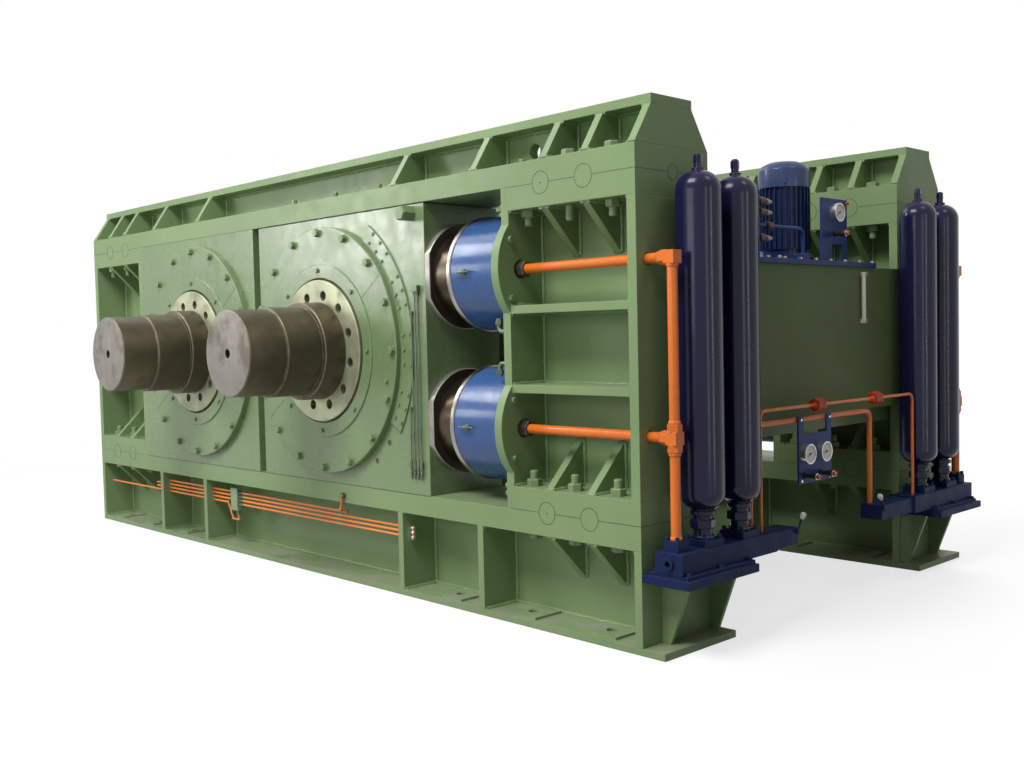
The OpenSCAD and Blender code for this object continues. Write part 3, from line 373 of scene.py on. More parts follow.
def seam_lines():
    # the seams of one side of one frame, at its thrust end, as pairs of points
    lines = []

    def along(d0, d1, z):
        lines.append(((d0, WEB_FACE, z), (d1, WEB_FACE, z)))

    def rise(d, low, high):
        lines.append(((d, WEB_FACE, low), (d, WEB_FACE, high)))

    def inward(d, z, start=SEAM_FRONT):
        lines.append(((d, start, z), (d, WEB_FACE, z)))

    def faces(ribs):
        return [d + s * RIB_HALF for d in ribs for s in (-1, 1)]

    for z in (SOLE_TOP, LOWER_UNDER, UPPER_FLOOR, UPPER_ROOF):
        along(END_PLATE, FRAME_LENGTH / 2, z)
    for d in faces(RIBS_UPPER) + [END_PLATE]:
        rise(d, UPPER_FLOOR, UPPER_ROOF)
        inward(d, UPPER_FLOOR)
        inward(d, UPPER_ROOF, ROOF_EDGE)
    for d in faces(RIBS_LOWER) + [END_PLATE]:
        rise(d, SOLE_TOP, LOWER_UNDER)
        inward(d, SOLE_TOP)
        inward(d, LOWER_UNDER)
    for d in faces(GUSSETS):
        for z, low in ((LOWER_UNDER, LOWER_UNDER - GUSSET_RISE), (BAY_LOW, BAY_LOW),
                       (BAY_HIGH, BAY_HIGH - GUSSET_RISE)):
            inward(d, z)
            rise(d, low, low + GUSSET_RISE)
    for d in (PLATE_THICK, COLUMN_INNER):
        rise(d, BAY_LOW, BAY_HIGH)
        inward(d, BAY_LOW)
        inward(d, BAY_HIGH)
    for side in (-1, 1):
        for edge in (-1, 1):
            z = AXIS_HEIGHT + side * STIFFENER_RISE + edge * STIFFENER_HALF
            along(PLATE_THICK, COLUMN_INNER, z)
            inward(PLATE_THICK, z)
            inward(COLUMN_INNER, z)
    for z in (BAY_LOW, BAY_HIGH):
        along(PLATE_THICK, COLUMN_INNER, z)
    return lines


def both_ways(place):
    # the four copies of a point of one frame: front and back, thrust end and fixed end
    d, y, z = place
    return [(x, v, z) for x in (d, FRAME_LENGTH - d) for v in (y, FRAME_WIDTH - y)]


# the weld paint is the frame sage made 6% lighter, painted light on the beads
bead_enamel = enamel("sage_enamel_weld", painted_light_sage(1.06), SAGE_PALE, rough=0.22, wear=0.3, dust=0.2, coat=0.225)
tree = bead_enamel.node_tree
skin = tree.nodes["Principled BSDF"]
scales = noise(tree, object_place(tree), 95.0, 2.0)
fill(tree, skin, Normal=bumped(tree, scales, skin.inputs["Normal"].links[0].from_socket, 0.8, 0.005))
for frame_name, flip in (("near", False), ("far", True)):
    points, strokes = [], []
    for start, end in seam_lines():
        for pair in zip(both_ways(start), both_ways(end)):
            strokes.append((len(points), len(points) + 1))
            points += [at(*place, flip) for place in pair]
    seams = bpy.data.meshes.new("seams")
    seams.from_pydata(points, strokes, [])
    grow(frame_name + "_frame_welds", seams, bead_tree,
         {"Radius": 0.0145, "Step": 0.014, "Ripple": 0.019, "Finish": bead_enamel}, "frame")

# Side frames: flange bolts
# Heavy hexagon bolts clamp the beams to the columns: heads on the beams, nuts and bolt ends on the columns.
# They are tightened bare and then painted over with the frame; their sage is made a little darker as painted
# shade.
BOLT_PLACES, BOLT_Y = (205, 490, 785), 80
HEAD_BODY, HEAD_TAPER, SHANK_BODY, SHANK_TAPER = 0.82, 0.87, 0.85, 0.8
TURN_STEP, TURN_RANGE = 0.37, 1.047
NONE = (0.1, 0.1)
UP, DOWN = (0, 0, 1), (0, 0, -1)


def fastener_tree():
    made, get, leave = geometry_tree("hexagon_fastener", "Corner Radius", "Height", "Washer Radius",
                                     "Washer Height", "End Radius", "End Length")

    def lifted(mesh, height):
        lift = add_node(made, "ShaderNodeCombineXYZ", Z=height).outputs[0]
        return add_node(made, "GeometryNodeTransform", Geometry=mesh, Translation=lift).outputs[0]

    def drum(sides, radius, depth, start):
        shape = add_node(made, "GeometryNodeMeshCylinder", Vertices=sides, Radius=radius, Depth=depth)
        middle = calc(made, "ADD", calc(made, "MULTIPLY", depth, 0.5), start)
        return lifted(shape.outputs["Mesh"], middle)

    def cone(sides, radius, share, depth, start):
        shape = add_node(made, "GeometryNodeMeshCone", Vertices=sides, Radius_Bottom=radius,
                         Radius_Top=calc(made, "MULTIPLY", radius, share), Depth=depth)
        return lifted(shape.outputs["Mesh"], start)

    def attribute(kind, name):
        found = add_node(made, "GeometryNodeInputNamedAttribute", data_type=kind, Name=name)
        return found.outputs["Attribute"]

    body, crown = (calc(made, "MULTIPLY", get["Height"], share) for share in (HEAD_BODY, 1 - HEAD_BODY))
    shank, tip = (calc(made, "MULTIPLY", get["End Length"], share) for share in (SHANK_BODY, 1 - SHANK_BODY))
    body_top = calc(made, "ADD", get["Washer Height"], body)
    head_top = calc(made, "ADD", get["Washer Height"], get["Height"])
    join = add_node(made, "GeometryNodeJoinGeometry")
    for part in (drum(20, get["Washer Radius"], get["Washer Height"], 0.0),
                 drum(6, get["Corner Radius"], body, get["Washer Height"]),
                 cone(6, get["Corner Radius"], HEAD_TAPER, crown, body_top),
                 drum(14, get["End Radius"], shank, head_top),
                 cone(14, get["End Radius"], SHANK_TAPER, tip, calc(made, "ADD", head_top, shank))):
        made.links.new(part, join.inputs[0])
    point_at = add_node(made, "FunctionNodeAlignRotationToVector", axis="Z",
                        Vector=attribute("FLOAT_VECTOR", "aim")).outputs[0]
    spin = add_node(made, "FunctionNodeAxisAngleToRotation", Axis=UP,
                    Angle=attribute("FLOAT", "turn")).outputs[0]
    facing = wire(made, add_node(made, "FunctionNodeRotateRotation", rotation_space="LOCAL"), point_at, spin)
    copies = add_node(made, "GeometryNodeInstanceOnPoints", Points=get["Geometry"], Instance=join.outputs[0],
                      Rotation=facing)
    close_tree(made, get, leave, copies.outputs[0])
    return made


hexagon_fastener = fastener_tree()


def fasten(name, places, look, body, slot, corner, height, washer=NONE, end=NONE):
    # bolts or nuts at each (point, outward direction), turned a little from one to the next; sizes in mm
    mesh = bpy.data.meshes.new(name + "_points")
    mesh.from_pydata([place for place, aim in places], [], [])
    mesh.attributes.new("aim", "FLOAT_VECTOR", "POINT")
    mesh.attributes.new("turn", "FLOAT", "POINT")
    for index, (place, aim) in enumerate(places):
        mesh.attributes["aim"].data[index].vector = aim
        mesh.attributes["turn"].data[index].value = (index * TURN_STEP) % TURN_RANGE
    sizes = {"Corner Radius": corner, "Height": height, "Washer Radius": washer[0],
             "Washer Height": washer[1], "End Radius": end[0], "End Length": end[1]}
    values = {label: size / 1000 for label, size in sizes.items()}
    return grow(name, mesh, hexagon_fastener, {**values, "Finish": look}, body)


# the bolt paint is the frame sage made 8% darker, painted shade
bolt_enamel = enamel("sage_enamel_bolt", painted_light_sage(0.92), SAGE_PALE, rough=0.34, wear=0.8, radius=0.004)
heads, nuts, studs = [], [], []
for flip in SIDES:
    for d in BOLT_PLACES:
        for z, aim, kind in ((UPPER_FLOOR, UP, heads), (BAY_HIGH, DOWN, nuts), (BAY_LOW, UP, nuts),
                             (LOWER_UNDER, DOWN, heads)):
            if z == UPPER_FLOOR and d == BOLT_PLACES[2]:
                continue
            for place in both_ways((d, BOLT_Y, z)):
                bare = (flip, place) == (False, (BOLT_PLACES[1], BOLT_Y, BAY_HIGH))
                (studs if bare else kind).append((at(*place, flip), aim))
fasten("flange_bolt_heads", heads, bolt_enamel, "frame", "frame_paint", 40, 36)
fasten("flange_nuts", nuts, bolt_enamel, "frame", "frame_paint", 40, 38, end=(22, 44))
fasten("flange_stud", studs, bolt_enamel, "frame", "frame_paint", *NONE, end=(23, 78))

# Side frames: joints and keys
# Where beam meets column the paint has cracked along the joint and around the round shear keys.
# The cracks are thin dark lines of oil and dirt that stand a hair proud of the plates.
KEYS, KEY_RADIUS, END_KEY_RADIUS = (327, 619), 57, 38
CRACK, CRACK_PROUD, CRACK_END, WIDE_CRACK = 1.1, 0.5, 880, 3
HOUSING_ENDS, STRIP_BACK, SHARP_ANGLE = (1552, 5159), 160, math.radians(35)
SMALL_BOLTS = ((824, 80), (1990, 26), (2450, 26), (2920, 26))


class Shape:
    # gathers points (m) and faces of one piece before it becomes a mesh; radii and profiles are in mm
    def __init__(self):
        self.points, self.faces = [], []

    def add(self, points, faces):
        start = len(self.points)
        self.points += [Vector(p) for p in points]
        self.faces += [tuple(start + i for i in face) for face in faces]

    def plate(self, outline, rise):
        # a plate over four corners
        self.add(outline + [Vector(p) + Vector(rise) for p in outline],
                 [(3, 2, 1, 0), (4, 5, 6, 7), (0, 1, 5, 4), (1, 2, 6, 5), (2, 3, 7, 6), (3, 0, 4, 7)])

    def box(self, first, second):
        (a, b, c), (d, e, f) = (tuple(map(pick, first, second)) for pick in (min, max))
        self.plate([(a, b, c), (d, b, c), (d, e, c), (a, e, c)], (0, 0, f - c))

    def cut_box(self, low, high, cut):
        # a box with all its edges cut off
        work = bmesh.new()
        bmesh.ops.create_cube(work, size=1.0)
        for vert in work.verts:
            vert.co = Vector(a + (b - a) * (c + 0.5) for a, b, c in zip(low, high, vert.co))
        bmesh.ops.bevel(work, geom=work.edges[:], offset=cut / 1000, segments=1, affect="EDGES")
        work.verts.index_update()
        self.add([vert.co.copy() for vert in work.verts],
                 [[vert.index for vert in face.verts] for face in work.faces])
        work.free()

    def lathe(self, base, axis, profile, steps=28, turn=0.0):
        # turns (radius, height) pairs about an axis that starts at base
        axis = Vector(axis).normalized()
        side = axis.orthogonal().normalized()
        other = axis.cross(side)
        rings, points, faces = [], [], []
        for radius, height in profile:
            count = 1 if radius < 0.0001 else steps
            rings.append(range(len(points), len(points) + count))
            for k in range(count):
                angle = turn + 2 * math.pi * k / steps
                reach = math.cos(angle) * side + math.sin(angle) * other
                points.append(Vector(base) + axis * (height / 1000) + (radius / 1000) * reach)
        for first, second in zip(rings, rings[1:]):
            for k in range(steps):
                quad = [first[k % len(first)], first[(k + 1) % len(first)],
                        second[(k + 1) % len(second)], second[k % len(second)]]
                face = [p for i, p in enumerate(quad) if p not in quad[:i]]
                if len(face) > 2:
                    faces.append(tuple(face))
        self.add(points, faces)

    def tube(self, path, radius, steps=10):
        # a round tube along points, with closed ends
        path = [Vector(p) for p in path]
        normal = (path[1] - path[0]).orthogonal().normalized()
        points, faces = [], []
        for i, place in enumerate(path):
            along = (path[min(i + 1, len(path) - 1)] - path[max(i - 1, 0)]).normalized()
            normal = (normal - along * normal.dot(along)).normalized()
            other = along.cross(normal)
            for k in range(steps):
                angle = 2 * math.pi * k / steps
                points.append(place + (radius / 1000) * (math.cos(angle) * normal + math.sin(angle) * other))
        for i in range(len(path) - 1):
            for k in range(steps):
                a, b = i * steps + k, i * steps + (k + 1) % steps
                faces.append((a, b, b + steps, a + steps))
        last = (len(path) - 1) * steps
        faces += [tuple(range(steps - 1, -1, -1)), tuple(range(last, last + steps))]
        self.add(points, faces)

    def piece(self, name, look, body, slot, turn_out=True):
        # turn_out is False for a piece with single flat faces, which are given facing outwards
        mesh = bpy.data.meshes.new(name)
        mesh.from_pydata(self.points, [], self.faces)
        if turn_out:
            work = bmesh.new()
            work.from_mesh(mesh)
            bmesh.ops.recalc_face_normals(work, faces=work.faces)
            work.to_mesh(mesh)
            work.free()
        mesh.shade_smooth()
        mesh.set_sharp_from_angle(angle=SHARP_ANGLE)
        mesh.materials.append(look)
        made = bpy.data.objects.new(name, mesh)
        scene.collection.objects.link(made)
        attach(made, body)
        return made


def crack_look():
    look, tree, skin, where = new_look("oily_crack")
    patch = spread(tree, noise(tree, where, 14.0, 4.0), 0.35, 0.7)
    fill(tree, skin, Base_Color=blend_colour(tree, patch, (0.014, 0.017, 0.010), (0.048, 0.058, 0.030)),
         Roughness=spread(tree, patch, 0, 1, 0.35, 0.6))
    return look


def crack_ring(radius):
    low, high = -0.2, 0.8
    inner, outer = radius - CRACK, radius + CRACK
    return [(inner, low), (inner, high), (outer, high), (outer, low), (inner, low)]


oily_crack = crack_look()
cracks = Shape()
centre_dot = [(0, 0.9), (4, 0.9), (4, -0.2), (0, -0.2)]
ends = [0] + [d + s * KEY_RADIUS for d in KEYS for s in (-1, 1)] + [CRACK_END]
spans = list(zip(ends[::2], ends[1::2]))
spans += [(FRAME_LENGTH - end, FRAME_LENGTH - start) for start, end in spans]
middle = FRAME_WIDTH / 2
for flip in SIDES:
    for z in (LOWER_TOP, UPPER_LOW):
        for start, end in spans:
            for y in (-CRACK_PROUD, FRAME_WIDTH):
                cracks.box(at(end, y, z - CRACK, flip), at(start, y + CRACK_PROUD, z + CRACK, flip))
        for d in (-CRACK_PROUD, FRAME_LENGTH):
            for near, wide in ((0, middle - END_KEY_RADIUS), (middle + END_KEY_RADIUS, FRAME_WIDTH)):
                cracks.box(at(d + CRACK_PROUD, near, z - CRACK, flip), at(d, wide, z + CRACK, flip))
        for d in KEYS + tuple(FRAME_LENGTH - d for d in KEYS):
            for y, aim in ((0, -1), (FRAME_WIDTH, 1)):
                aim = (0, -aim if flip else aim, 0)
                cracks.lathe(at(d, y, z, flip), aim, crack_ring(KEY_RADIUS), 40)
                if d != KEYS[0]:
                    cracks.lathe(at(d, y, z, flip), aim, centre_dot, 10)
        for d, aim in ((0, 1), (FRAME_LENGTH, -1)):
            cracks.lathe(at(d, middle, z, flip), (aim, 0, 0), crack_ring(END_KEY_RADIUS), 40)
    for z in (LOWER_TOP - 3.2, UPPER_LOW + 0.2):
        cracks.box(at(HOUSING_ENDS[1], -CRACK_PROUD, z, flip), at(HOUSING_ENDS[0], 0, z + WIDE_CRACK, flip))
cracks.piece("joint_cracks", oily_crack, "frame", "web_paint")

# facing strips that carry the sloping edges of the upper ribs and end plates out to the top plate
strips = Shape()
slope = ((0, UPPER_FLOOR), (ROOF_EDGE, UPPER_ROOF), (STRIP_BACK, UPPER_ROOF))
for plate_ends in [(d - RIB_HALF, d + RIB_HALF) for d in RIBS_UPPER] + [(0, END_PLATE)]:
    corners = [both_ways((d, y, z)) for d in plate_ends for y, z in slope]
    for flip in SIDES:
        for copy in range(4):
            strips.add([at(*corner[copy], flip) for corner in corners],
                       [(0, 1, 2), (5, 4, 3), (0, 3, 4, 1), (1, 4, 5, 2), (2, 5, 3, 0)])
strips.piece("upper_rib_edges", frame_enamel, "frame", "frame_paint")
small_bolts = [(at(d, y, UPPER_FLOOR, flip), UP) for flip in SIDES for d, y in SMALL_BOLTS]
fasten("upper_beam_small_bolts", small_bolts, bolt_enamel, "frame", "frame_paint", 17, 30)

# Bearing housings
# Square cast steel blocks that carry the roller bearings; the moving pair slides between the beams.
# Machined all round and painted like the frame, in a darkened sage that is painted shade, with a curved
# rubbing strip held by two rows of screws.
FIXED_D, MOVING_D, LIFTING_BOLT = 4236, 2558, (1670, 0, 2235)
STRIP_FRONT, STRIP_ROWS = 10, (811, 876)
STRIP_ANGLES = [start - step for start in (52.3, 29.4, 6.2, -17.3) for step in (0, 5.9, 11.8)]
PLUGS, PLUG = ((1927, 902), (2055, 785)), [(0, 0.6), (13, 0.6), (14.5, 2), (17, 1.2), (17, 0)]
# the housings get the frame sage darkened to 0.82, painted shade
housing_enamel_painted_shade = enamel("sage_enamel_housing_painted_shade", painted_light_sage(0.82), SAGE_PALE, rough=0.27, depth=0.08, gloss=0.45)
dress(housing_enamel_painted_shade, "near_fixed_housing", "far_fixed_housing", "near_moving_housing", "far_moving_housing")


def outward(flip):
    return (0, 1, 0) if flip else (0, -1, 0)


def round_place(d, radius, degrees, out, flip):
    # a point on a circle about a roll axis, out in front of the frame by out millimetres
    turn = math.radians(degrees)
    return at(d - radius * math.cos(turn), -out, AXIS_HEIGHT + radius * math.sin(turn), flip)


screws = [(round_place(MOVING_D, r, a, STRIP_FRONT, flip), outward(flip))
          for flip in SIDES for r in STRIP_ROWS for a in STRIP_ANGLES]
fasten("rubbing_strip_screws", screws, bolt_enamel, "moving_carriage", "housing_paint", 10.5, 9)
fasten("housing_lifting_bolts", [(at(*LIFTING_BOLT, flip), outward(flip)) for flip in SIDES],
       bolt_enamel, "moving_carriage", "housing_paint", 46, 84)
dark_holes = Shape()
for flip in SIDES:
    for d, z in PLUGS:
        dark_holes.lathe(at(d, 0.2, z, flip), outward(flip), PLUG, 18)
dark_holes.piece("housing_plugged_holes", oily_crack, "moving_carriage", "housing_paint")

# Grease tubes on the moving housings
# Thin drawn steel tubes with screwed fittings run down the thrust edge of the housing to a row of connectors.
# They are dark from oil, and each connector is a small hexagon with a short tail.
TUBES = ((1612, 1795, 1610), (1636, 1795, 1640), (1672, 1677, 1672), (1698, 1124, 1703))
TUBE_OUT, TUBE_RADIUS, CONNECTOR_TOP, CONNECTOR_LOW, TAIL_LOW = 14, 4.2, 806, 764, 704
TOP_NUT = [(0, 0), (11, 0), (11, 24), (7, 30), (0, 30)]
LOW_NUT = [(0, 0), (10.5, 0), (10.5, 40), (7, 48), (0, 48)]
TAIL = [(0, 0), (5, 0), (5, 20), (8, 24), (8, 40), (5, 44), (5, 62), (0, 62)]
STUB = [(6, 0), (6, TUBE_OUT)]


def dark_metal(name, colour, rough):
    look, tree, skin, where = new_look(name)
    tone = use_group(tree, tone_group, Color=(*colour, 1), Depth=0.35, Scale=9.0)
    edge = use_group(tree, edges_group, Radius=0.0015, Breakup=60.0)
    bright = tuple(min(1.0, 2.2 * c + 0.03) for c in colour)
    fill(tree, skin, Base_Color=blend_colour(tree, edge["Mask"], tone["Color"], bright), Metallic=0.6,
         Roughness=spread(tree, tone["Cloud"], -1, 1, rough - 0.1, rough + 0.1),
         Normal=bumped(tree, noise(tree, where, 180.0), edge["Normal"], 0.1, 0.001))
    return look


tube_metal = dark_metal("oiled_tube", (0.115, 0.140, 0.092), 0.38)
for side_name, flip in (("near", False), ("far", True)):
    tubes = Shape()
    tubes.box(at(1600, 0, 1788, flip), at(1648, -26, 1822, flip))
    for top_d, top_z, low_d in TUBES:
        start, end = at(top_d, -TUBE_OUT, top_z, flip), at(low_d, -TUBE_OUT, CONNECTOR_TOP, flip)
        tubes.tube([start, start.lerp(end, 0.5), end], TUBE_RADIUS, 8)
        tubes.lathe(at(top_d, -TUBE_OUT, top_z - 28, flip), UP, TOP_NUT, 6)
        tubes.lathe(at(low_d, -TUBE_OUT, CONNECTOR_LOW, flip), UP, LOW_NUT, 6)
        tubes.lathe(at(low_d, -TUBE_OUT, TAIL_LOW, flip), UP, TAIL, 12)
        tubes.lathe(at(low_d, 0, CONNECTOR_LOW + 20, flip), outward(flip), STUB, 10)
        tubes.lathe(at(top_d, 0, top_z - 14, flip), outward(flip), STUB, 10)
    tubes.piece(side_name + "_grease_tubes", tube_metal, "moving_carriage", "housing_paint")

# Bearing covers
# Turned steel covers, split along a slanting line, with a raised inner ring around the shaft.
# Sixteen bolts hold each cover and eight smaller ones hold its ring.
COVER_FRONT, RING_FRONT, CAP_FRONT = 42, 52, 72
COVER_BOLT_CIRCLE, RING_BOLT_CIRCLE = 740, 505
SPLIT_ANGLE, SPLIT_REACH, SPLIT_HALF, SPLIT_RISE = 35.3, (546, 771), 0.0021, 0.0009
ODD_BOLT = (701, -14.9)
# the covers take the same darkened sage, painted shade
dress(housing_enamel_painted_shade, "near_fixed_cover", "far_fixed_cover", "near_moving_cover", "far_moving_cover")
for cover_name, d, body in (("fixed", FIXED_D, "frame"), ("moving", MOVING_D, "moving_carriage")):
    large, small = [], []
    splits = Shape()
    for flip in SIDES:
        aim = outward(flip)
        large += [(round_place(d, COVER_BOLT_CIRCLE, 22.5 * k, COVER_FRONT, flip), aim) for k in range(16)]
        front = CAP_FRONT if flip else RING_FRONT
        small += [(round_place(d, RING_BOLT_CIRCLE, 45 * k, front, flip), aim) for k in range(8)]
        for a in (SPLIT_ANGLE, SPLIT_ANGLE + 180):
            inner, outer = (round_place(d, r, a, COVER_FRONT - 0.3, flip) for r in SPLIT_REACH)
            across = (outer - inner).normalized().cross(Vector((0, 1, 0))) * SPLIT_HALF
            splits.plate([inner - across, inner + across, outer + across, outer - across],
                         Vector(aim) * SPLIT_RISE)
        if cover_name == "moving":
            small.append((round_place(d, *ODD_BOLT, COVER_FRONT, flip), aim))
    fasten(cover_name + "_cover_bolts", large, bolt_enamel, body, "housing_paint", 24.5, 23, (27, 4))
    fasten(cover_name + "_ring_bolts", small, bolt_enamel, body, "housing_paint", 14.5, 13)
    splits.piece(cover_name + "_cover_split_lines", oily_crack, body, "housing_paint")

# Rolls and shafts
# Forged shafts turned in steps, left bare under brown preserving oil, with faced and streaked ends.
# The retaining plates are machined steel, and the roll shells carry a hard-faced, ribbed wearing skin.
# EDGE_GLINT is a painted highlight laid along the turned edges of the steel parts
RUST, EDGE_GLINT = (0.052, 0.034, 0.020), (0.36, 0.31, 0.23)
SHAFT_END = at(0, -690, 0).y


def turned_steel(name, centre, colour, face_colour, rough, stain, metal=0.9, lines=420.0, axis="Y",
                 face_up_to=99.0):
    look, tree, skin, where = new_look(name, colour)
    place = add_node(tree, "ShaderNodeSeparateXYZ", Vector=where).outputs
    across = calc(tree, "SUBTRACT", place["X" if axis == "Y" else "Y"], centre[0])
    up = calc(tree, "SUBTRACT", place["Z"], centre[1])
    radius = calc(tree, "SQRT", calc(tree, "MULTIPLY_ADD", across, across, calc(tree, "MULTIPLY", up, up)))
    marks = wire(tree, add_node(tree, "ShaderNodeCombineXYZ"), radius, place[axis])
    normal = add_node(tree, "ShaderNodeNewGeometry").outputs["True Normal"]
    along = add_node(tree, "ShaderNodeSeparateXYZ", Vector=normal).outputs[axis]
    end_face = spread(tree, calc(tree, "ABSOLUTE", along), 0.9, 0.98)
    end_face = calc(tree, "MULTIPLY", end_face, calc(tree, "LESS_THAN", place[axis], face_up_to))
    tone = use_group(tree, tone_group, Color=(*colour, 1), Depth=0.30, Scale=3.2)["Color"]
    face_tone = use_group(tree, tone_group, Color=(*face_colour, 1), Depth=0.22, Scale=5.0)["Color"]
    bare = blend_colour(tree, end_face, tone, face_tone)
    blot = spread(tree, noise(tree, where, 6.5, 7.0), 0.50, 0.66)
    rusty = blend_colour(tree, calc(tree, "MULTIPLY", blot, stain), bare, RUST)
    edge = use_group(tree, edges_group, Radius=0.007, Breakup=18.0)
    matt = calc(tree, "MULTIPLY_ADD", noise(tree, marks, 14.0, 3.0), 0.16, rough - 0.08)
    # the turned edges are lightened toward EDGE_GLINT, a painted highlight
    fill(tree, skin,
         Base_Color=blend_colour(tree, calc(tree, "MULTIPLY", edge["Mask"], 0.42), rusty, EDGE_GLINT),
         Metallic=calc(tree, "MULTIPLY_ADD", blot, -0.45 * stain, metal),
         Roughness=calc(tree, "MULTIPLY_ADD", blot, 0.2 * stain, matt),
         Normal=bumped(tree, noise(tree, marks, lines, 2.0), edge["Normal"], 0.16, 0.0015))
    return look


for roll_name, d in (("fixed", FIXED_D), ("moving", MOVING_D)):
    centre = (at(d, 0, AXIS_HEIGHT).x, AXIS_HEIGHT / 1000)
    dress(turned_steel(roll_name + "_shaft_steel", centre, (0.102, 0.086, 0.056), (0.182, 0.167, 0.147),
                       0.45, 0.55, face_up_to=SHAFT_END), roll_name + "_shaft")
    dress(turned_steel(roll_name + "_plate_steel", centre, (0.30, 0.31, 0.215), (0.325, 0.345, 0.225),
                       0.46, 0.40, 0.6), roll_name + "_retainer")
    dress(turned_steel(roll_name + "_hard_facing", centre, (0.24, 0.225, 0.20), (0.26, 0.245, 0.22),
                       0.50, 0.5, 0.8, 60.0), roll_name + "_roll")

# Thrust cylinders
# Four hydraulic cylinders push the moving housings: blue painted barrels with bright turned gland rings,
# and ground rams with round pads, brown with oil. Each barrel has a wing-headed bleed screw at mid height.
BARREL_BLUE, CYLINDER_HEIGHTS = (0.034, 0.092, 0.250), (1872.5, 1033.5)
BARREL_SIDE, BLEED_D, BLEED_WING = 38, 1171, 62
RAM_RADIUS, RAM_EDGE, PAD_RADIUS, PAD_BACK, PAD_FRONT, PAD_EDGE, PAD_STEPS = 255, 6, 306, 1552, 1512, 4, 32
THRUST_FACE, ELBOW_Y, ELBOWS, ELBOW_OUT, ELBOW_BEND = 911, 40, ((1548, 1), (1378, -1)), 55, 22
ELBOW_FOOT = [(0, 0), (21, 0), (21, 20), (16, 26), (13, 26)]
ELBOW_NUT = [(13, 0), (20, 2), (20, 22), (15, 26), (15, 34), (11, 36), (0, 36)]
BLEED_BODY = [(0, 0), (17, 0), (17, 12), (11, 16), (11, 30), (0, 30)]
BLEED_BAR = [(0, 0), (4, 4), (6, 30), (11, 50), (13, 62), (11, 74), (6, 94), (4, 120), (0, 124)]
PLATE_BOLT_RISE, PLATE_BOLT_IN, LIP_BOLTS, LIP_BOLT_Y = 153, 7, (2195, 2156, 731, 692), 16
OUT, BACK = (1, 0, 0), (-1, 0, 0)
barrel_enamel = enamel("gloss_blue_barrel", BARREL_BLUE, (0.16, 0.22, 0.42), rough=0.24, dust=0.15,
                       coat=0.1575)
dress(barrel_enamel, "thrust_barrels")


def cylinder_steel(name, colour, face_colour, rough, stain, metal):
    centre = (at(0, FRAME_WIDTH / 2, 0).y, CYLINDER_HEIGHTS[0] / 1000)
    return turned_steel(name, centre, colour, face_colour, rough, stain, metal, 500.0, "X")


bright_gland = cylinder_steel("bright_gland", (0.33, 0.31, 0.288), (0.30, 0.283, 0.265), 0.30, 0.12, 1.0)
dress(bright_gland, "gland_rings")
oiled_ram = cylinder_steel("oiled_ram", (0.086, 0.066, 0.044), (0.098, 0.075, 0.052), 0.30, 0.30, 0.95)
dress(oiled_ram, "thrust_rams")
ram_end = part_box("thrust_rams")[1][0]
rams, pads = Shape(), Shape()
for flip in SIDES:
    for z in CYLINDER_HEIGHTS:
        base = at(PAD_FRONT + 1, middle, z, flip)
        length = (ram_end - base.x) * 1000
        rams.lathe(base, OUT, [(RAM_RADIUS, 0), (RAM_RADIUS, length - RAM_EDGE),
                               (RAM_RADIUS - RAM_EDGE, length), (0, length)], 72)
        # the pads are discs cut flush with the two sides of the housing
        rings = []
        for d, inset in ((PAD_BACK, 0), (PAD_FRONT + PAD_EDGE, 0), (PAD_FRONT, PAD_EDGE)):
            radius = PAD_RADIUS - inset
            corner = math.acos((middle - inset) / radius)
            turns = [corner + (math.pi - 2 * corner) * k / PAD_STEPS for k in range(PAD_STEPS + 1)]
            turns += [a + math.pi for a in turns]
            rings += [at(d, middle + radius * math.cos(a), z + radius * math.sin(a), flip) for a in turns]
        count = len(turns)
        faces = [tuple(range(count)), tuple(range(3 * count - 1, 2 * count - 1, -1))]
        for start in (0, count):
            faces += [(start + k, start + (k + 1) % count, start + count + (k + 1) % count, start + count + k)
                      for k in range(count)]
        pads.add(rings, faces)
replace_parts(rams.piece("oiled_rams", oiled_ram, "moving_carriage", "ram_steel"), "thrust_rams")
pad_steel = cylinder_steel("pad_steel", (0.33, 0.31, 0.28), (0.064, 0.052, 0.041), 0.40, 0.35, 0.7)
pads.piece("thrust_pads", pad_steel, "moving_carriage", "ram_steel")

# two screwed elbows on the thrust plate, between the cylinders
elbows, bleeds, plate_bolts = Shape(), Shape(), []
for flip in SIDES:
    for z, way in ELBOWS:
        foot = at(THRUST_FACE, ELBOW_Y, z, flip)
        bend = [at(THRUST_FACE + ELBOW_OUT + ELBOW_BEND * math.sin(a), ELBOW_Y,
                   z + way * (ELBOW_BEND - ELBOW_BEND * math.cos(a)), flip) for a in (0, 0.4, 0.8, 1.2, 1.57)]
        elbows.tube([foot] + bend + [bend[-1] + Vector((0, 0, way * 0.018))], 13, 14)
        elbows.lathe(foot, BACK, ELBOW_FOOT, 6)
        elbows.lathe(bend[-1] + Vector((0, 0, way * 0.012)), (0, 0, way), ELBOW_NUT, 6)
    for z in CYLINDER_HEIGHTS:
        bleeds.lathe(at(BLEED_D, 3 - BARREL_SIDE, z, flip), outward(flip), BLEED_BODY, 6)
        bleeds.lathe(at(BLEED_D + BLEED_WING, -BARREL_SIDE - 20, z, flip), OUT, BLEED_BAR, 12)
        plate_bolts += [(at(COLUMN_INNER, y, z + rise, flip), OUT)
                        for y in (PLATE_BOLT_IN, FRAME_WIDTH - PLATE_BOLT_IN)
                        for rise in (-PLATE_BOLT_RISE, PLATE_BOLT_RISE)]
    plate_bolts += [(at(THRUST_FACE, LIP_BOLT_Y, z, flip), BACK) for z in LIP_BOLTS]
elbows.piece("thrust_plate_elbows", tube_metal, "frame", "bright_steel")
bleeds.piece("barrel_bleed_screws", tube_metal, "frame", "bright_steel")
fasten("thrust_plate_bolts", plate_bolts, bolt_enamel, "frame", "frame_paint", 18, 16)
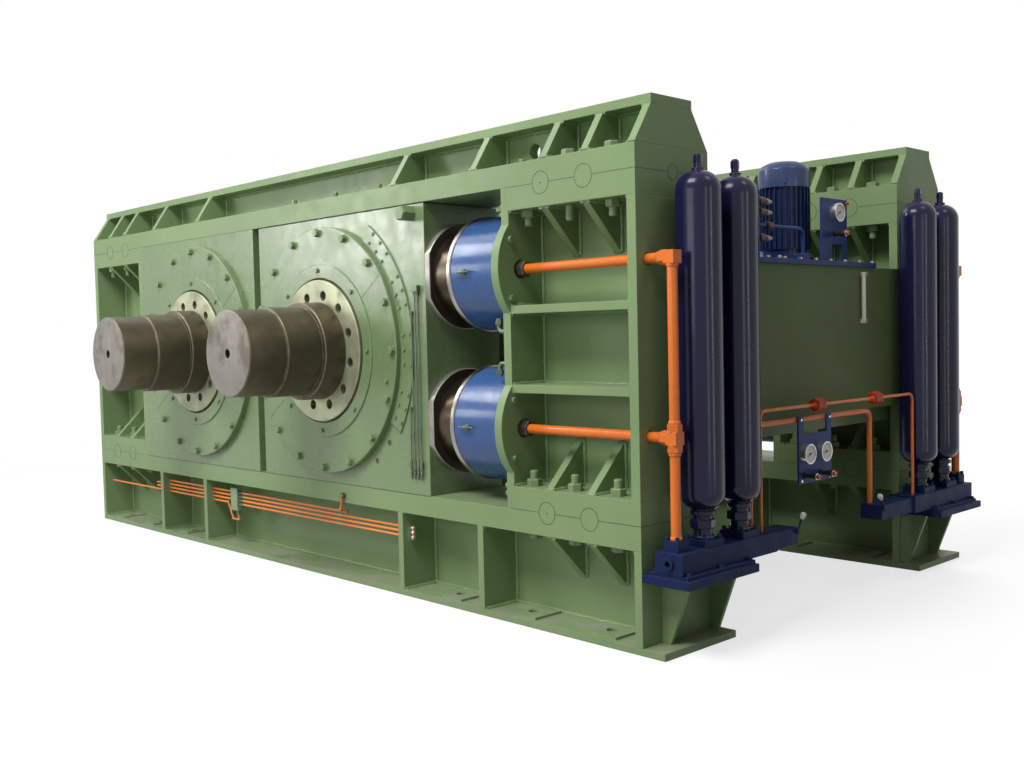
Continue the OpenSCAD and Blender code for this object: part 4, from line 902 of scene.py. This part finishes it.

# Oil set: manifolds
# Drilled steel blocks on shelf plates at the thrust end, painted deep blue, darkened as painted shade, and
# screwed down at their corners.
# Socket screws hold the pipe foot and the bottle feet; hexagon screws hold the shelf plates.
OIL_BLUE, SHADED_MANIFOLD_BLUE, WORN_BLUE = (0.024, 0.050, 0.170), (0.009, 0.018, 0.068), (0.07, 0.11, 0.26)
MANIFOLD_D, PIPE_Y, BOTTLES_Y = -145, 80, (286, 585)
FOOT_TOP, FOOT_HALF, NECK_TOP, NECK_HALF, SHELF_TOP = 560, 29, 540, 54, 405
SHELF_BOLTS = [(d, y, SHELF_TOP) for d in (-239, -44) for y in (48, 300, 535)]
oil_enamel = enamel("deep_blue_enamel", OIL_BLUE, (0.10, 0.17, 0.38), rough=0.33, dust=0.14, radius=0.004,
                    coat=0.045, gloss=0.08)
# the manifolds get the deep blue darkened, painted shade
manifold_enamel_painted_shade = enamel("dark_blue_manifold_painted_shade", SHADED_MANIFOLD_BLUE, WORN_BLUE, rough=0.46, dust=0.04, radius=0.004,
                         gloss=0.08)
dress(manifold_enamel_painted_shade, "manifold_plates", "manifold_blocks")
dress(oil_enamel, "tank_lid", "valve_stack", "gauge_stand", "gauge_panel")


def socket_screw(shape, place, aim, radius, height):
    rim, socket, floor_z = radius * 0.62, radius * 0.55, height * 0.45
    shape.lathe(place, aim, [(radius, 0), (radius, height * 0.92), (radius * 0.92, height), (rim, height)],
                20)
    shape.lathe(place, aim, [(rim, height), (socket, height), (socket, floor_z), (0, floor_z)], 6)


sockets = Shape()
for flip in SIDES:
    for y, half, z in ((PIPE_Y, FOOT_HALF, FOOT_TOP), *((y, NECK_HALF, NECK_TOP) for y in BOTTLES_Y)):
        for du in (-half, half):
            for dv in (-half, half):
                socket_screw(sockets, at(MANIFOLD_D + du, y + dv, z, flip), UP, 10.5, 18)
sockets.piece("manifold_socket_screws", manifold_enamel_painted_shade, "frame", "oil_blue")
fasten("shelf_plate_bolts", [(at(*place, flip), UP) for flip in SIDES for place in SHELF_BOLTS],
       manifold_enamel_painted_shade, "frame", "oil_blue", 12.5, 11, (13.5, 3))

# Oil set: bottles
# Seamless gas-charged steel bottles in gloss navy enamel, screwed into the manifolds through a hexagon neck.
# A slim filling valve stands on each crown.
BOTTLE_NAVY, NECK_HOLD, VALVE_HOLD, COLLAR_EDGE = (0.0085, 0.0085, 0.041), 45.9, 18.9, 4
COLLARS = ((540, 556, 56, 32, NECK_HOLD), (590, 634, 62, 6, NECK_HOLD), (652, 676, 60, 32, NECK_HOLD),
           (2317, 2352, 21.8, 6, VALVE_HOLD))
VALVE_TOP, VALVE_CAP = 2356, [(15, -1), (15, 3), (11.5, 6), (0, 6)]
bottle_enamel = enamel("navy_bottle_enamel", BOTTLE_NAVY, (0.11, 0.11, 0.24), rough=0.20, wear=0.35,
                       dust=0.10, coat=0.18, gloss=0.15)
dress(bottle_enamel, "oil_bottles")
necks = Shape()
for flip in SIDES:
    for y in BOTTLES_Y:
        for low, high, radius, sides, hold in COLLARS:
            tall, neat = high - low, radius * 0.94
            necks.lathe(at(MANIFOLD_D, y, low, flip), UP, [
                (hold, 0), (neat, 0), (radius, COLLAR_EDGE), (radius, tall - COLLAR_EDGE), (neat, tall),
                (hold, tall)], sides)
        necks.lathe(at(MANIFOLD_D, y, VALVE_TOP, flip), UP, VALVE_CAP, 20)
necks.piece("bottle_neck_nuts", bottle_enamel, "frame", "bottle_navy")

# Oil set: pressure pipes
# Heavy drawn tube in orange enamel, with square screwed tees and a rounded sleeve above and below each nut.
# Where a pipe enters a thrust plate it passes a painted hexagon gland.
ORANGE, PIPE_RADIUS, TEE_HALF, NUT_END = (0.73, 0.168, 0.022), 25, 31, 66
GLAND_D, THROAT_D, PIPE_HOLD = 806, 853.5, 25.4
SLEEVE = [(PIPE_RADIUS + out, along)
          for out, along in ((-0.3, 0), (5, 0), (6, 2), (5, 12), (1.5, 18), (-0.3, 18))]
GLAND = [(PIPE_HOLD, 0), (40, 0), (44, 4), (44, 40), (40, 46), (PIPE_HOLD, 46)]
THROAT = [(PIPE_HOLD, 0), (50, 0), (50, 2), (PIPE_HOLD, 2)]
pipe_enamel = enamel("orange_pipe_enamel", ORANGE, (0.90, 0.42, 0.15), rough=0.27, wear=0.45, dust=0.10,
                     coat=0.135)
dress(pipe_enamel, "pressure_pipes", "cross_pipes")
sleeves, glands, throats = Shape(), Shape(), Shape()
for flip in SIDES:
    for z, rises in ((CYLINDER_HEIGHTS[0], (-TEE_HALF + 1,)), (CYLINDER_HEIGHTS[1], (-NUT_END, NUT_END))):
        for rise in rises:
            sleeves.lathe(at(MANIFOLD_D, PIPE_Y, z + rise, flip), (0, 0, rise), SLEEVE, 28)
        sleeves.lathe(at(MANIFOLD_D + NUT_END, PIPE_Y, z, flip), BACK, SLEEVE, 28)
        glands.lathe(at(GLAND_D, PIPE_Y, z, flip), BACK, GLAND, 6)
        throats.lathe(at(THROAT_D, PIPE_Y, z, flip), BACK, THROAT, 32)
    sleeves.lathe(at(MANIFOLD_D, PIPE_Y, FOOT_TOP, flip), UP, SLEEVE, 28)
sleeves.piece("pipe_sleeves", pipe_enamel, "frame", "pipe_orange")
glands.piece("pipe_glands", dark_metal("oily_gland", (0.085, 0.072, 0.055), 0.45), "frame", "frame_paint")
throats.piece("pipe_throats", oily_crack, "frame", "web_paint")

# Oil set: tank
# A welded sheet tank between the thrust columns, painted the frame green made slightly more olive and
# darkened as painted shade, with a blue lid plate screwed on.
# The lid screws are small, dull with oil and close to the edge.
LID_TOP, LID_ENDS_D, LID_ENDS_Y = 1908, (-18, 718), (905, 2169)
LID_STEPS_D, LID_STEPS_Y = range(129, 700, 147), range(905, 2180, 158)
# the tank is the frame green, a little more olive and darkened to about 0.6, painted shade
tank_enamel = enamel("olive_tank_painted_shade", (0.118, 0.160, 0.072), (0.22, 0.27, 0.15), rough=0.42, depth=0.16,
                     gloss=0.06)
dress(tank_enamel, "oil_tank")


def bare_steel(name, colour, rough, stain):
    look, tree, skin, where = new_look(name, colour)
    tone = use_group(tree, tone_group, Color=(*colour, 1), Depth=0.2, Scale=30.0)["Color"]
    dull = spread(tree, noise(tree, where, 55.0, 5.0), 0.5, 0.7)
    stained = blend_colour(tree, calc(tree, "MULTIPLY", dull, stain), tone, (0.16, 0.12, 0.08))
    fill(tree, skin, Base_Color=stained, Metallic=0.95,
         Roughness=calc(tree, "MULTIPLY_ADD", dull, 0.2, rough),
         Normal=use_group(tree, edges_group, Radius=0.0012, Breakup=80.0)["Normal"])
    return look


bright_steel = bare_steel("plated_steel", (0.62, 0.61, 0.58), 0.28, 0.35)
dull_steel = bare_steel("oiled_screw_steel", (0.27, 0.25, 0.22), 0.40, 0.7)
lid_bolts = [(at(d, y, LID_TOP), UP) for y in LID_STEPS_Y for d in LID_ENDS_D]
lid_bolts += [(at(d, y, LID_TOP), UP) for d in LID_STEPS_D for y in LID_ENDS_Y]
fasten("lid_screws", lid_bolts, dull_steel, "frame", "bright_steel", 9.5, 9, (11.5, 2))

# Oil set: pump motor
# A flange-mounted finned electric motor standing upright on the lid, dark blue: the lid's blue darkened as
# painted shade, with a paler sheet fan cowl.
# Eight screws hold the foot flange, and the cowl has a round guard of wire rings on top.
MOTOR_D, MOTOR_Y, FLANGE_TOP, FLANGE_CIRCLE = 300, 1720, LID_TOP + 30, 152
COWL_LOW, COWL_SCREW_Z, COWL_CIRCLE, GUARD_Z = 2347.5, 2372, 149.5, 2499.5
COWL = [(147.6, 0), (149.8, 1), (149.8, 104), (149, 107.2), (130, 134.5), (89, 153.2), (86.5, 151.2)]
GUARD_RINGS, GUARD_SPOKES, GUARD_REACH = (22, 42, 62, 80), (0.3, 1.347, 2.394), 84
# the motor gets the lid's blue darkened to about half, painted shade
motor_enamel_painted_shade = enamel("dark_blue_motor_painted_shade", (0.011, 0.023, 0.078), WORN_BLUE, rough=0.30, dust=0.10,
                      radius=0.004, coat=0.045, gloss=0.12)
dress(motor_enamel_painted_shade, "pump_motor")
cowl_enamel = enamel("pale_blue_cowl", (0.034, 0.058, 0.140), (0.15, 0.20, 0.36), rough=0.30, wear=0.6,
                     dust=0.15, radius=0.004, coat=0.135)


def on_motor(radius, turn, z):
    return at(MOTOR_D, MOTOR_Y, z) + Vector((radius * math.cos(turn), radius * math.sin(turn), 0)) / 1000


foot_turns = [math.radians(157.5 - 45 * k) for k in range(8)]
fasten("motor_foot_screws", [(on_motor(FLANGE_CIRCLE, a, FLANGE_TOP), UP) for a in foot_turns],
       dull_steel, "frame", "bright_steel", 13.5, 12, (16, 3))
cowl_screws = [(on_motor(COWL_CIRCLE, a, COWL_SCREW_Z), (math.cos(a), math.sin(a), 0))
               for a in (0.6, 2.17, 3.74, 5.31)]
fasten("cowl_screws", cowl_screws, cowl_enamel, "frame", "oil_blue", 8, 6)
cowl = Shape()
cowl.lathe(on_motor(0, 0, COWL_LOW), UP, COWL, 56)
for radius in GUARD_RINGS:
    cowl.tube([on_motor(radius, 2 * math.pi * k / 36, GUARD_Z) for k in range(37)], 2.2, 6)
for a in GUARD_SPOKES:
    cowl.tube([on_motor(reach, a, GUARD_Z) for reach in (-GUARD_REACH, GUARD_REACH)], 2.4, 6)
cowl.piece("motor_cowl_guard", cowl_enamel, "frame", "oil_blue")

# Oil set: valves on the lid
# A bored steel block with three solenoid valves on its side: brown moulded coils with pale push-in ends.
# An arched steel pipe leads from the block back to the tank, with a brown union nut and a square foot.
VALVE_D, VALVE_Y, BLOCK_TOP, COILS_D, COILS_UP = (10, 110), (930, 1030), LID_TOP + 330, 35, (108, 246, 303)
ARCH_D, ARCH_Z, ARCH_Y, ARCH_BEND, ARCH_RADIUS = 60, LID_TOP + 178, 1530, 45, 11
ARCH_FOOT_HALF, ARCH_FOOT_TOP, UNION_Y = 30, LID_TOP + 42, 1160
COIL = [(12, 0), (12, 20), (19.5, 21), (22.5, 24), (22.5, 70), (20.5, 74), (15, 74), (16.5, 77), (16.5, 92),
        (11, 93)]
COIL_END = [(11, 92.5), (16, 93), (16, 104), (14.6, 108), (7.6, 146), (0, 147)]
UNION_NUT = [(10.8, 0), (22.5, 0), (25, 3), (25, 50), (21.5, 56), (10.8, 62)]
ACROSS = (0, 1, 0)
coil_brown = enamel("brown_coil", (0.055, 0.026, 0.018), (0.16, 0.09, 0.06), rough=0.42, wear=0.3, dust=0.15,
                    radius=0.002)
cone_beige = enamel("beige_coil_end", (0.46, 0.42, 0.31), (0.55, 0.52, 0.42), rough=0.5, wear=0.2, dust=0.1,
                    radius=0.002)
stack, coils, ends = Shape(), Shape(), Shape()
stack.cut_box(at(VALVE_D[1], VALVE_Y[0], LID_TOP), at(VALVE_D[0], VALVE_Y[1], BLOCK_TOP), 4)
stack.cut_box(at(ARCH_D + ARCH_FOOT_HALF, ARCH_Y - ARCH_FOOT_HALF, LID_TOP),
              at(ARCH_D - ARCH_FOOT_HALF, ARCH_Y + ARCH_FOOT_HALF, ARCH_FOOT_TOP), 3)
turns = [math.radians(90 * k / 8) for k in range(9)]
arch = [at(ARCH_D, ARCH_Y - ARCH_BEND + ARCH_BEND * math.sin(a), ARCH_Z - ARCH_BEND + ARCH_BEND * math.cos(a))
        for a in turns]
stack.tube([at(ARCH_D, VALVE_Y[1], ARCH_Z)] + arch + [at(ARCH_D, ARCH_Y, ARCH_FOOT_TOP)], ARCH_RADIUS, 20)
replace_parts(stack.piece("valve_block", oil_enamel, "frame", "oil_blue"), "valve_stack")
for rise in COILS_UP:
    coils.lathe(at(COILS_D, VALVE_Y[1], LID_TOP + rise), ACROSS, COIL, 28)
    ends.lathe(at(COILS_D, VALVE_Y[1], LID_TOP + rise), ACROSS, COIL_END, 28)
coils.lathe(at(ARCH_D, UNION_Y, ARCH_Z), ACROSS, UNION_NUT, 6)
coils.piece("valve_coils", coil_brown, "frame", "oil_blue")
ends.piece("valve_coil_ends", cone_beige, "frame", "oil_blue")

# Oil set: gauges
# Round dial gauges with bright bezels on blue panels, each with a small shut-off tap below.
# White dials with printed ticks and a black pointer; the taps have black bodies and red ends.
GAUGES = ((-169.3, 1206, 858, 205), (-169.3, 1370, 858, 196), (26.0, 1872.5, 2197, 214))
TAPS, STAND_KNOB = ((-135.3, 1206, 739), (-135.3, 1370, 739), (60.0, 1872.5, 2074)), (60.3, 1991, 2258)
PANEL_SCREWS = [(-135.3, y, z) for y in (1172, 1458) for z in (712, 1040)]
TICKS, TICK_START, TICK_STEP, TICK_END, TICK_LIFT = 31, 225, 9, 44.5, 0.7
LONG_TICK, SHORT_TICK, POINTER_TIP, POINTER_TAIL, POINTER_LIFT = (34, 1.1), (39, 0.6), 36, -12, 3.7
TAIL_HALF, TIP_HALF, POINTER_THICK = 2.2, 0.5, (0.0012, 0, 0)
DIAL = [(0, 0.4), (48.5, 0.4), (48.5, 0)]
HUB = [(5.2, 0.6), (5.2, 4.6), (3.8, 5.4), (0, 5.4)]
TAP_BODY = [(12.3, 1), (16.5, 2), (16.5, 10), (12.6, 12), (12.6, 38), (17.6, 40), (18.2, 46), (18.2, 68),
            (17, 75.5), (12.3, 75.7)]
TAP_END = [(12.6, 75.5), (13.4, 78), (13.4, 88), (11, 93.5), (0, 93.8)]
KNOB = [(5, 0), (5, 10), (9.5, 12), (10.8, 17), (9.5, 23), (0, 25)]
dress(bright_steel, "gauges")
dial_white = enamel("dial_white", (0.72, 0.71, 0.66), (0.72, 0.71, 0.66), rough=0.3, wear=0.0, depth=0.04,
                    dust=0.08, radius=0.0008, coat=0.225)
ink_black = enamel("pointer_black", (0.012, 0.012, 0.013), (0.03, 0.03, 0.03), rough=0.4, wear=0.2, dust=0.05,
                   radius=0.0006)
tap_red = enamel("tap_red", (0.36, 0.040, 0.018), (0.50, 0.13, 0.07), rough=0.35, wear=0.3, dust=0.08,
                 radius=0.002)


def on_dial(place, radius, degrees, side, lift):
    # a point on a dial, out along a direction by radius and beside it by side
    cos, sin = math.cos(math.radians(degrees)), math.sin(math.radians(degrees))
    return place + Vector((lift, radius * cos - side * sin, radius * sin + side * cos)) / 1000


dials, marks = Shape(), Shape()
for d, y, z, reading in GAUGES:
    place = at(d, y, z)
    dials.lathe(place, OUT, DIAL, 48)
    for k in range(TICKS):
        inner, half = LONG_TICK if k % 5 == 0 else SHORT_TICK
        marks.add([on_dial(place, radius, TICK_START - TICK_STEP * k, side, TICK_LIFT) for radius, side in (
            (inner, -half), (TICK_END, -half), (TICK_END, half), (inner, half))], [(0, 1, 2, 3)])
    marks.plate([on_dial(place, radius, reading, side, POINTER_LIFT) for radius, side in (
        (POINTER_TAIL, -TAIL_HALF), (POINTER_TIP, -TIP_HALF), (POINTER_TIP, TIP_HALF),
        (POINTER_TAIL, TAIL_HALF))], POINTER_THICK)
    marks.lathe(place, OUT, HUB, 20)
dials.piece("gauge_dials", dial_white, "frame", "bright_steel")
marks.piece("gauge_marks", ink_black, "frame", "bright_steel", turn_out=False)
tap_bodies, tap_ends = Shape(), Shape()
for place in TAPS:
    tap_bodies.lathe(at(*place), OUT, TAP_BODY, 24)
    tap_ends.lathe(at(*place), OUT, TAP_END, 24)
tap_ends.lathe(at(*STAND_KNOB), OUT, KNOB, 24)
tap_bodies.piece("tap_bodies", ink_black, "frame", "bright_steel")
tap_ends.piece("tap_ends", tap_red, "frame", "bright_steel")
fasten("panel_screws", [(at(*place), OUT) for place in PANEL_SCREWS], bright_steel, "frame", "bright_steel",
       8, 7)

# Oil set: level gauge and small fittings
# A white sight tube in a metal channel shows the oil level; red unions join the cross pipes;
# the end valves of the manifolds have a lever with a white moulded ball.
LEVEL_SCREWS, UNIONS_Y, UNION_HALF = ((-52, 2033, 1562), (-52, 2033, 1838)), (1278, 1901), 33
UNION = [(20, -4), (34.5, -4), (39.5, 2), (39.5, 24), (36.2, 28), (36.2, 38), (39.5, 42), (39.5, 64),
         (34.5, 70), (20, 70)]
UNION_D, UNION_Z, UNION_TURN = -175, 1118, 0.26
LEVERS, LEVER_D, LEVER_Z, LEVER_TILT = ((995, 1), (SPAN - 1165, -1)), -220.5, 482, 35
BALL = [(6.4, 66), (10, 68), (10, 75), (14, 80), (16, 87), (16, 94), (14.2, 100.5), (10, 105), (0, 106.8)]
tube_white = enamel("sight_tube_white", (0.62, 0.61, 0.54), (0.70, 0.69, 0.62), rough=0.18, wear=0.2,
                    dust=0.1, radius=0.002, coat=0.27)
dress(tube_white, "level_gauge")
fasten("level_gauge_screws", [(at(*place), OUT) for place in LEVEL_SCREWS], tube_metal, "frame",
       "bright_steel", 9.5, 8)
unions, knobs = Shape(), Shape()
for y in UNIONS_Y:
    unions.lathe(at(UNION_D, y - UNION_HALF, UNION_Z), ACROSS, UNION, 6, UNION_TURN)
unions.piece("cross_pipe_unions", tap_red, "frame", "pipe_orange")
for y, way in LEVERS:
    tilt = math.radians(LEVER_TILT)
    knobs.lathe(at(LEVER_D, y, LEVER_Z), (0, way * math.sin(tilt), math.cos(tilt)), BALL, 24)
knobs.piece("valve_lever_knobs", tube_white, "frame", "oil_blue")

# Grease pipes on the lower beam
# Four orange tubes run through the beam ribs from a pale block, and a plug sits in the flange above them.
# Dark compression fittings join them to the block, and plated nuts lock them behind the last rib.
GREASE_Y, GREASE_ROWS, LOCK_D = 60, (422, 394, 366, 338), 1820.2
BLOCK_ENDS, BLOCK_LOW, BLOCK_HIGH, BLOCK_HALF, JACKET = (3828, 3917), 292, 451, 22, 2
PLUG_PLACE, DRAIN_D = (2415, -0.4, 540), 3845
FITTING = [(8.2, 0), (12.5, 0), (13.5, 2), (13.5, 20), (10.5, 24), (10.5, 30), (12.8, 33), (12.8, 50),
           (10, 56), (8.2, 60)]
SHORT_FITTING = FITTING[:6] + [(8.2, 31)]
LOCK_NUT = [(8.2, 0), (16, 0), (16.8, 2), (16.8, 26), (15, 29), (8.2, 29)]
FLANGE_PLUG = [(0, 0), (17.2, 0), (17.2, 22), (15, 26.8), (8, 26.8), (8, 24), (0, 24)]
DRAIN = [(7.2, 0), (12.5, 0), (12.5, 22), (7.2, 26)]
grease_enamel = enamel("orange_grease_pipe", (0.70, 0.225, 0.055), (0.85, 0.45, 0.22), rough=0.34, wear=0.5,
                       dust=0.15, radius=0.002)
dress(grease_enamel, "lube_pipes")
block_enamel = enamel("pale_block_enamel", (0.235, 0.315, 0.200), (0.36, 0.42, 0.30), rough=0.42, depth=0.14,
                      radius=0.003)
jacket, joints, locks = Shape(), Shape(), Shape()
jacket.cut_box(at(BLOCK_ENDS[1] + JACKET, GREASE_Y - BLOCK_HALF, BLOCK_LOW - JACKET),
               at(BLOCK_ENDS[0] - JACKET, GREASE_Y + BLOCK_HALF, BLOCK_HIGH + JACKET), 1.6)
jacket.piece("grease_block", block_enamel, "frame", "lube_copper")
for index, z in enumerate(GREASE_ROWS):
    joints.lathe(at(BLOCK_ENDS[0] - 0.8, GREASE_Y, z), OUT, FITTING, 6)
    if index < 3:
        joints.lathe(at(BLOCK_ENDS[1] + 0.8, GREASE_Y, z), BACK, SHORT_FITTING, 6)
    if index > 0:
        locks.lathe(at(LOCK_D, GREASE_Y, z), OUT, LOCK_NUT, 6)
joints.lathe(at(*PLUG_PLACE), (0, -1, 0), FLANGE_PLUG, 24)
joints.lathe(at(DRAIN_D, GREASE_Y, BLOCK_LOW - 1), DOWN, DRAIN, 6)
joints.piece("grease_fittings", tube_metal, "frame", "lube_copper")
locks.piece("grease_lock_nuts", bright_steel, "frame", "bright_steel")
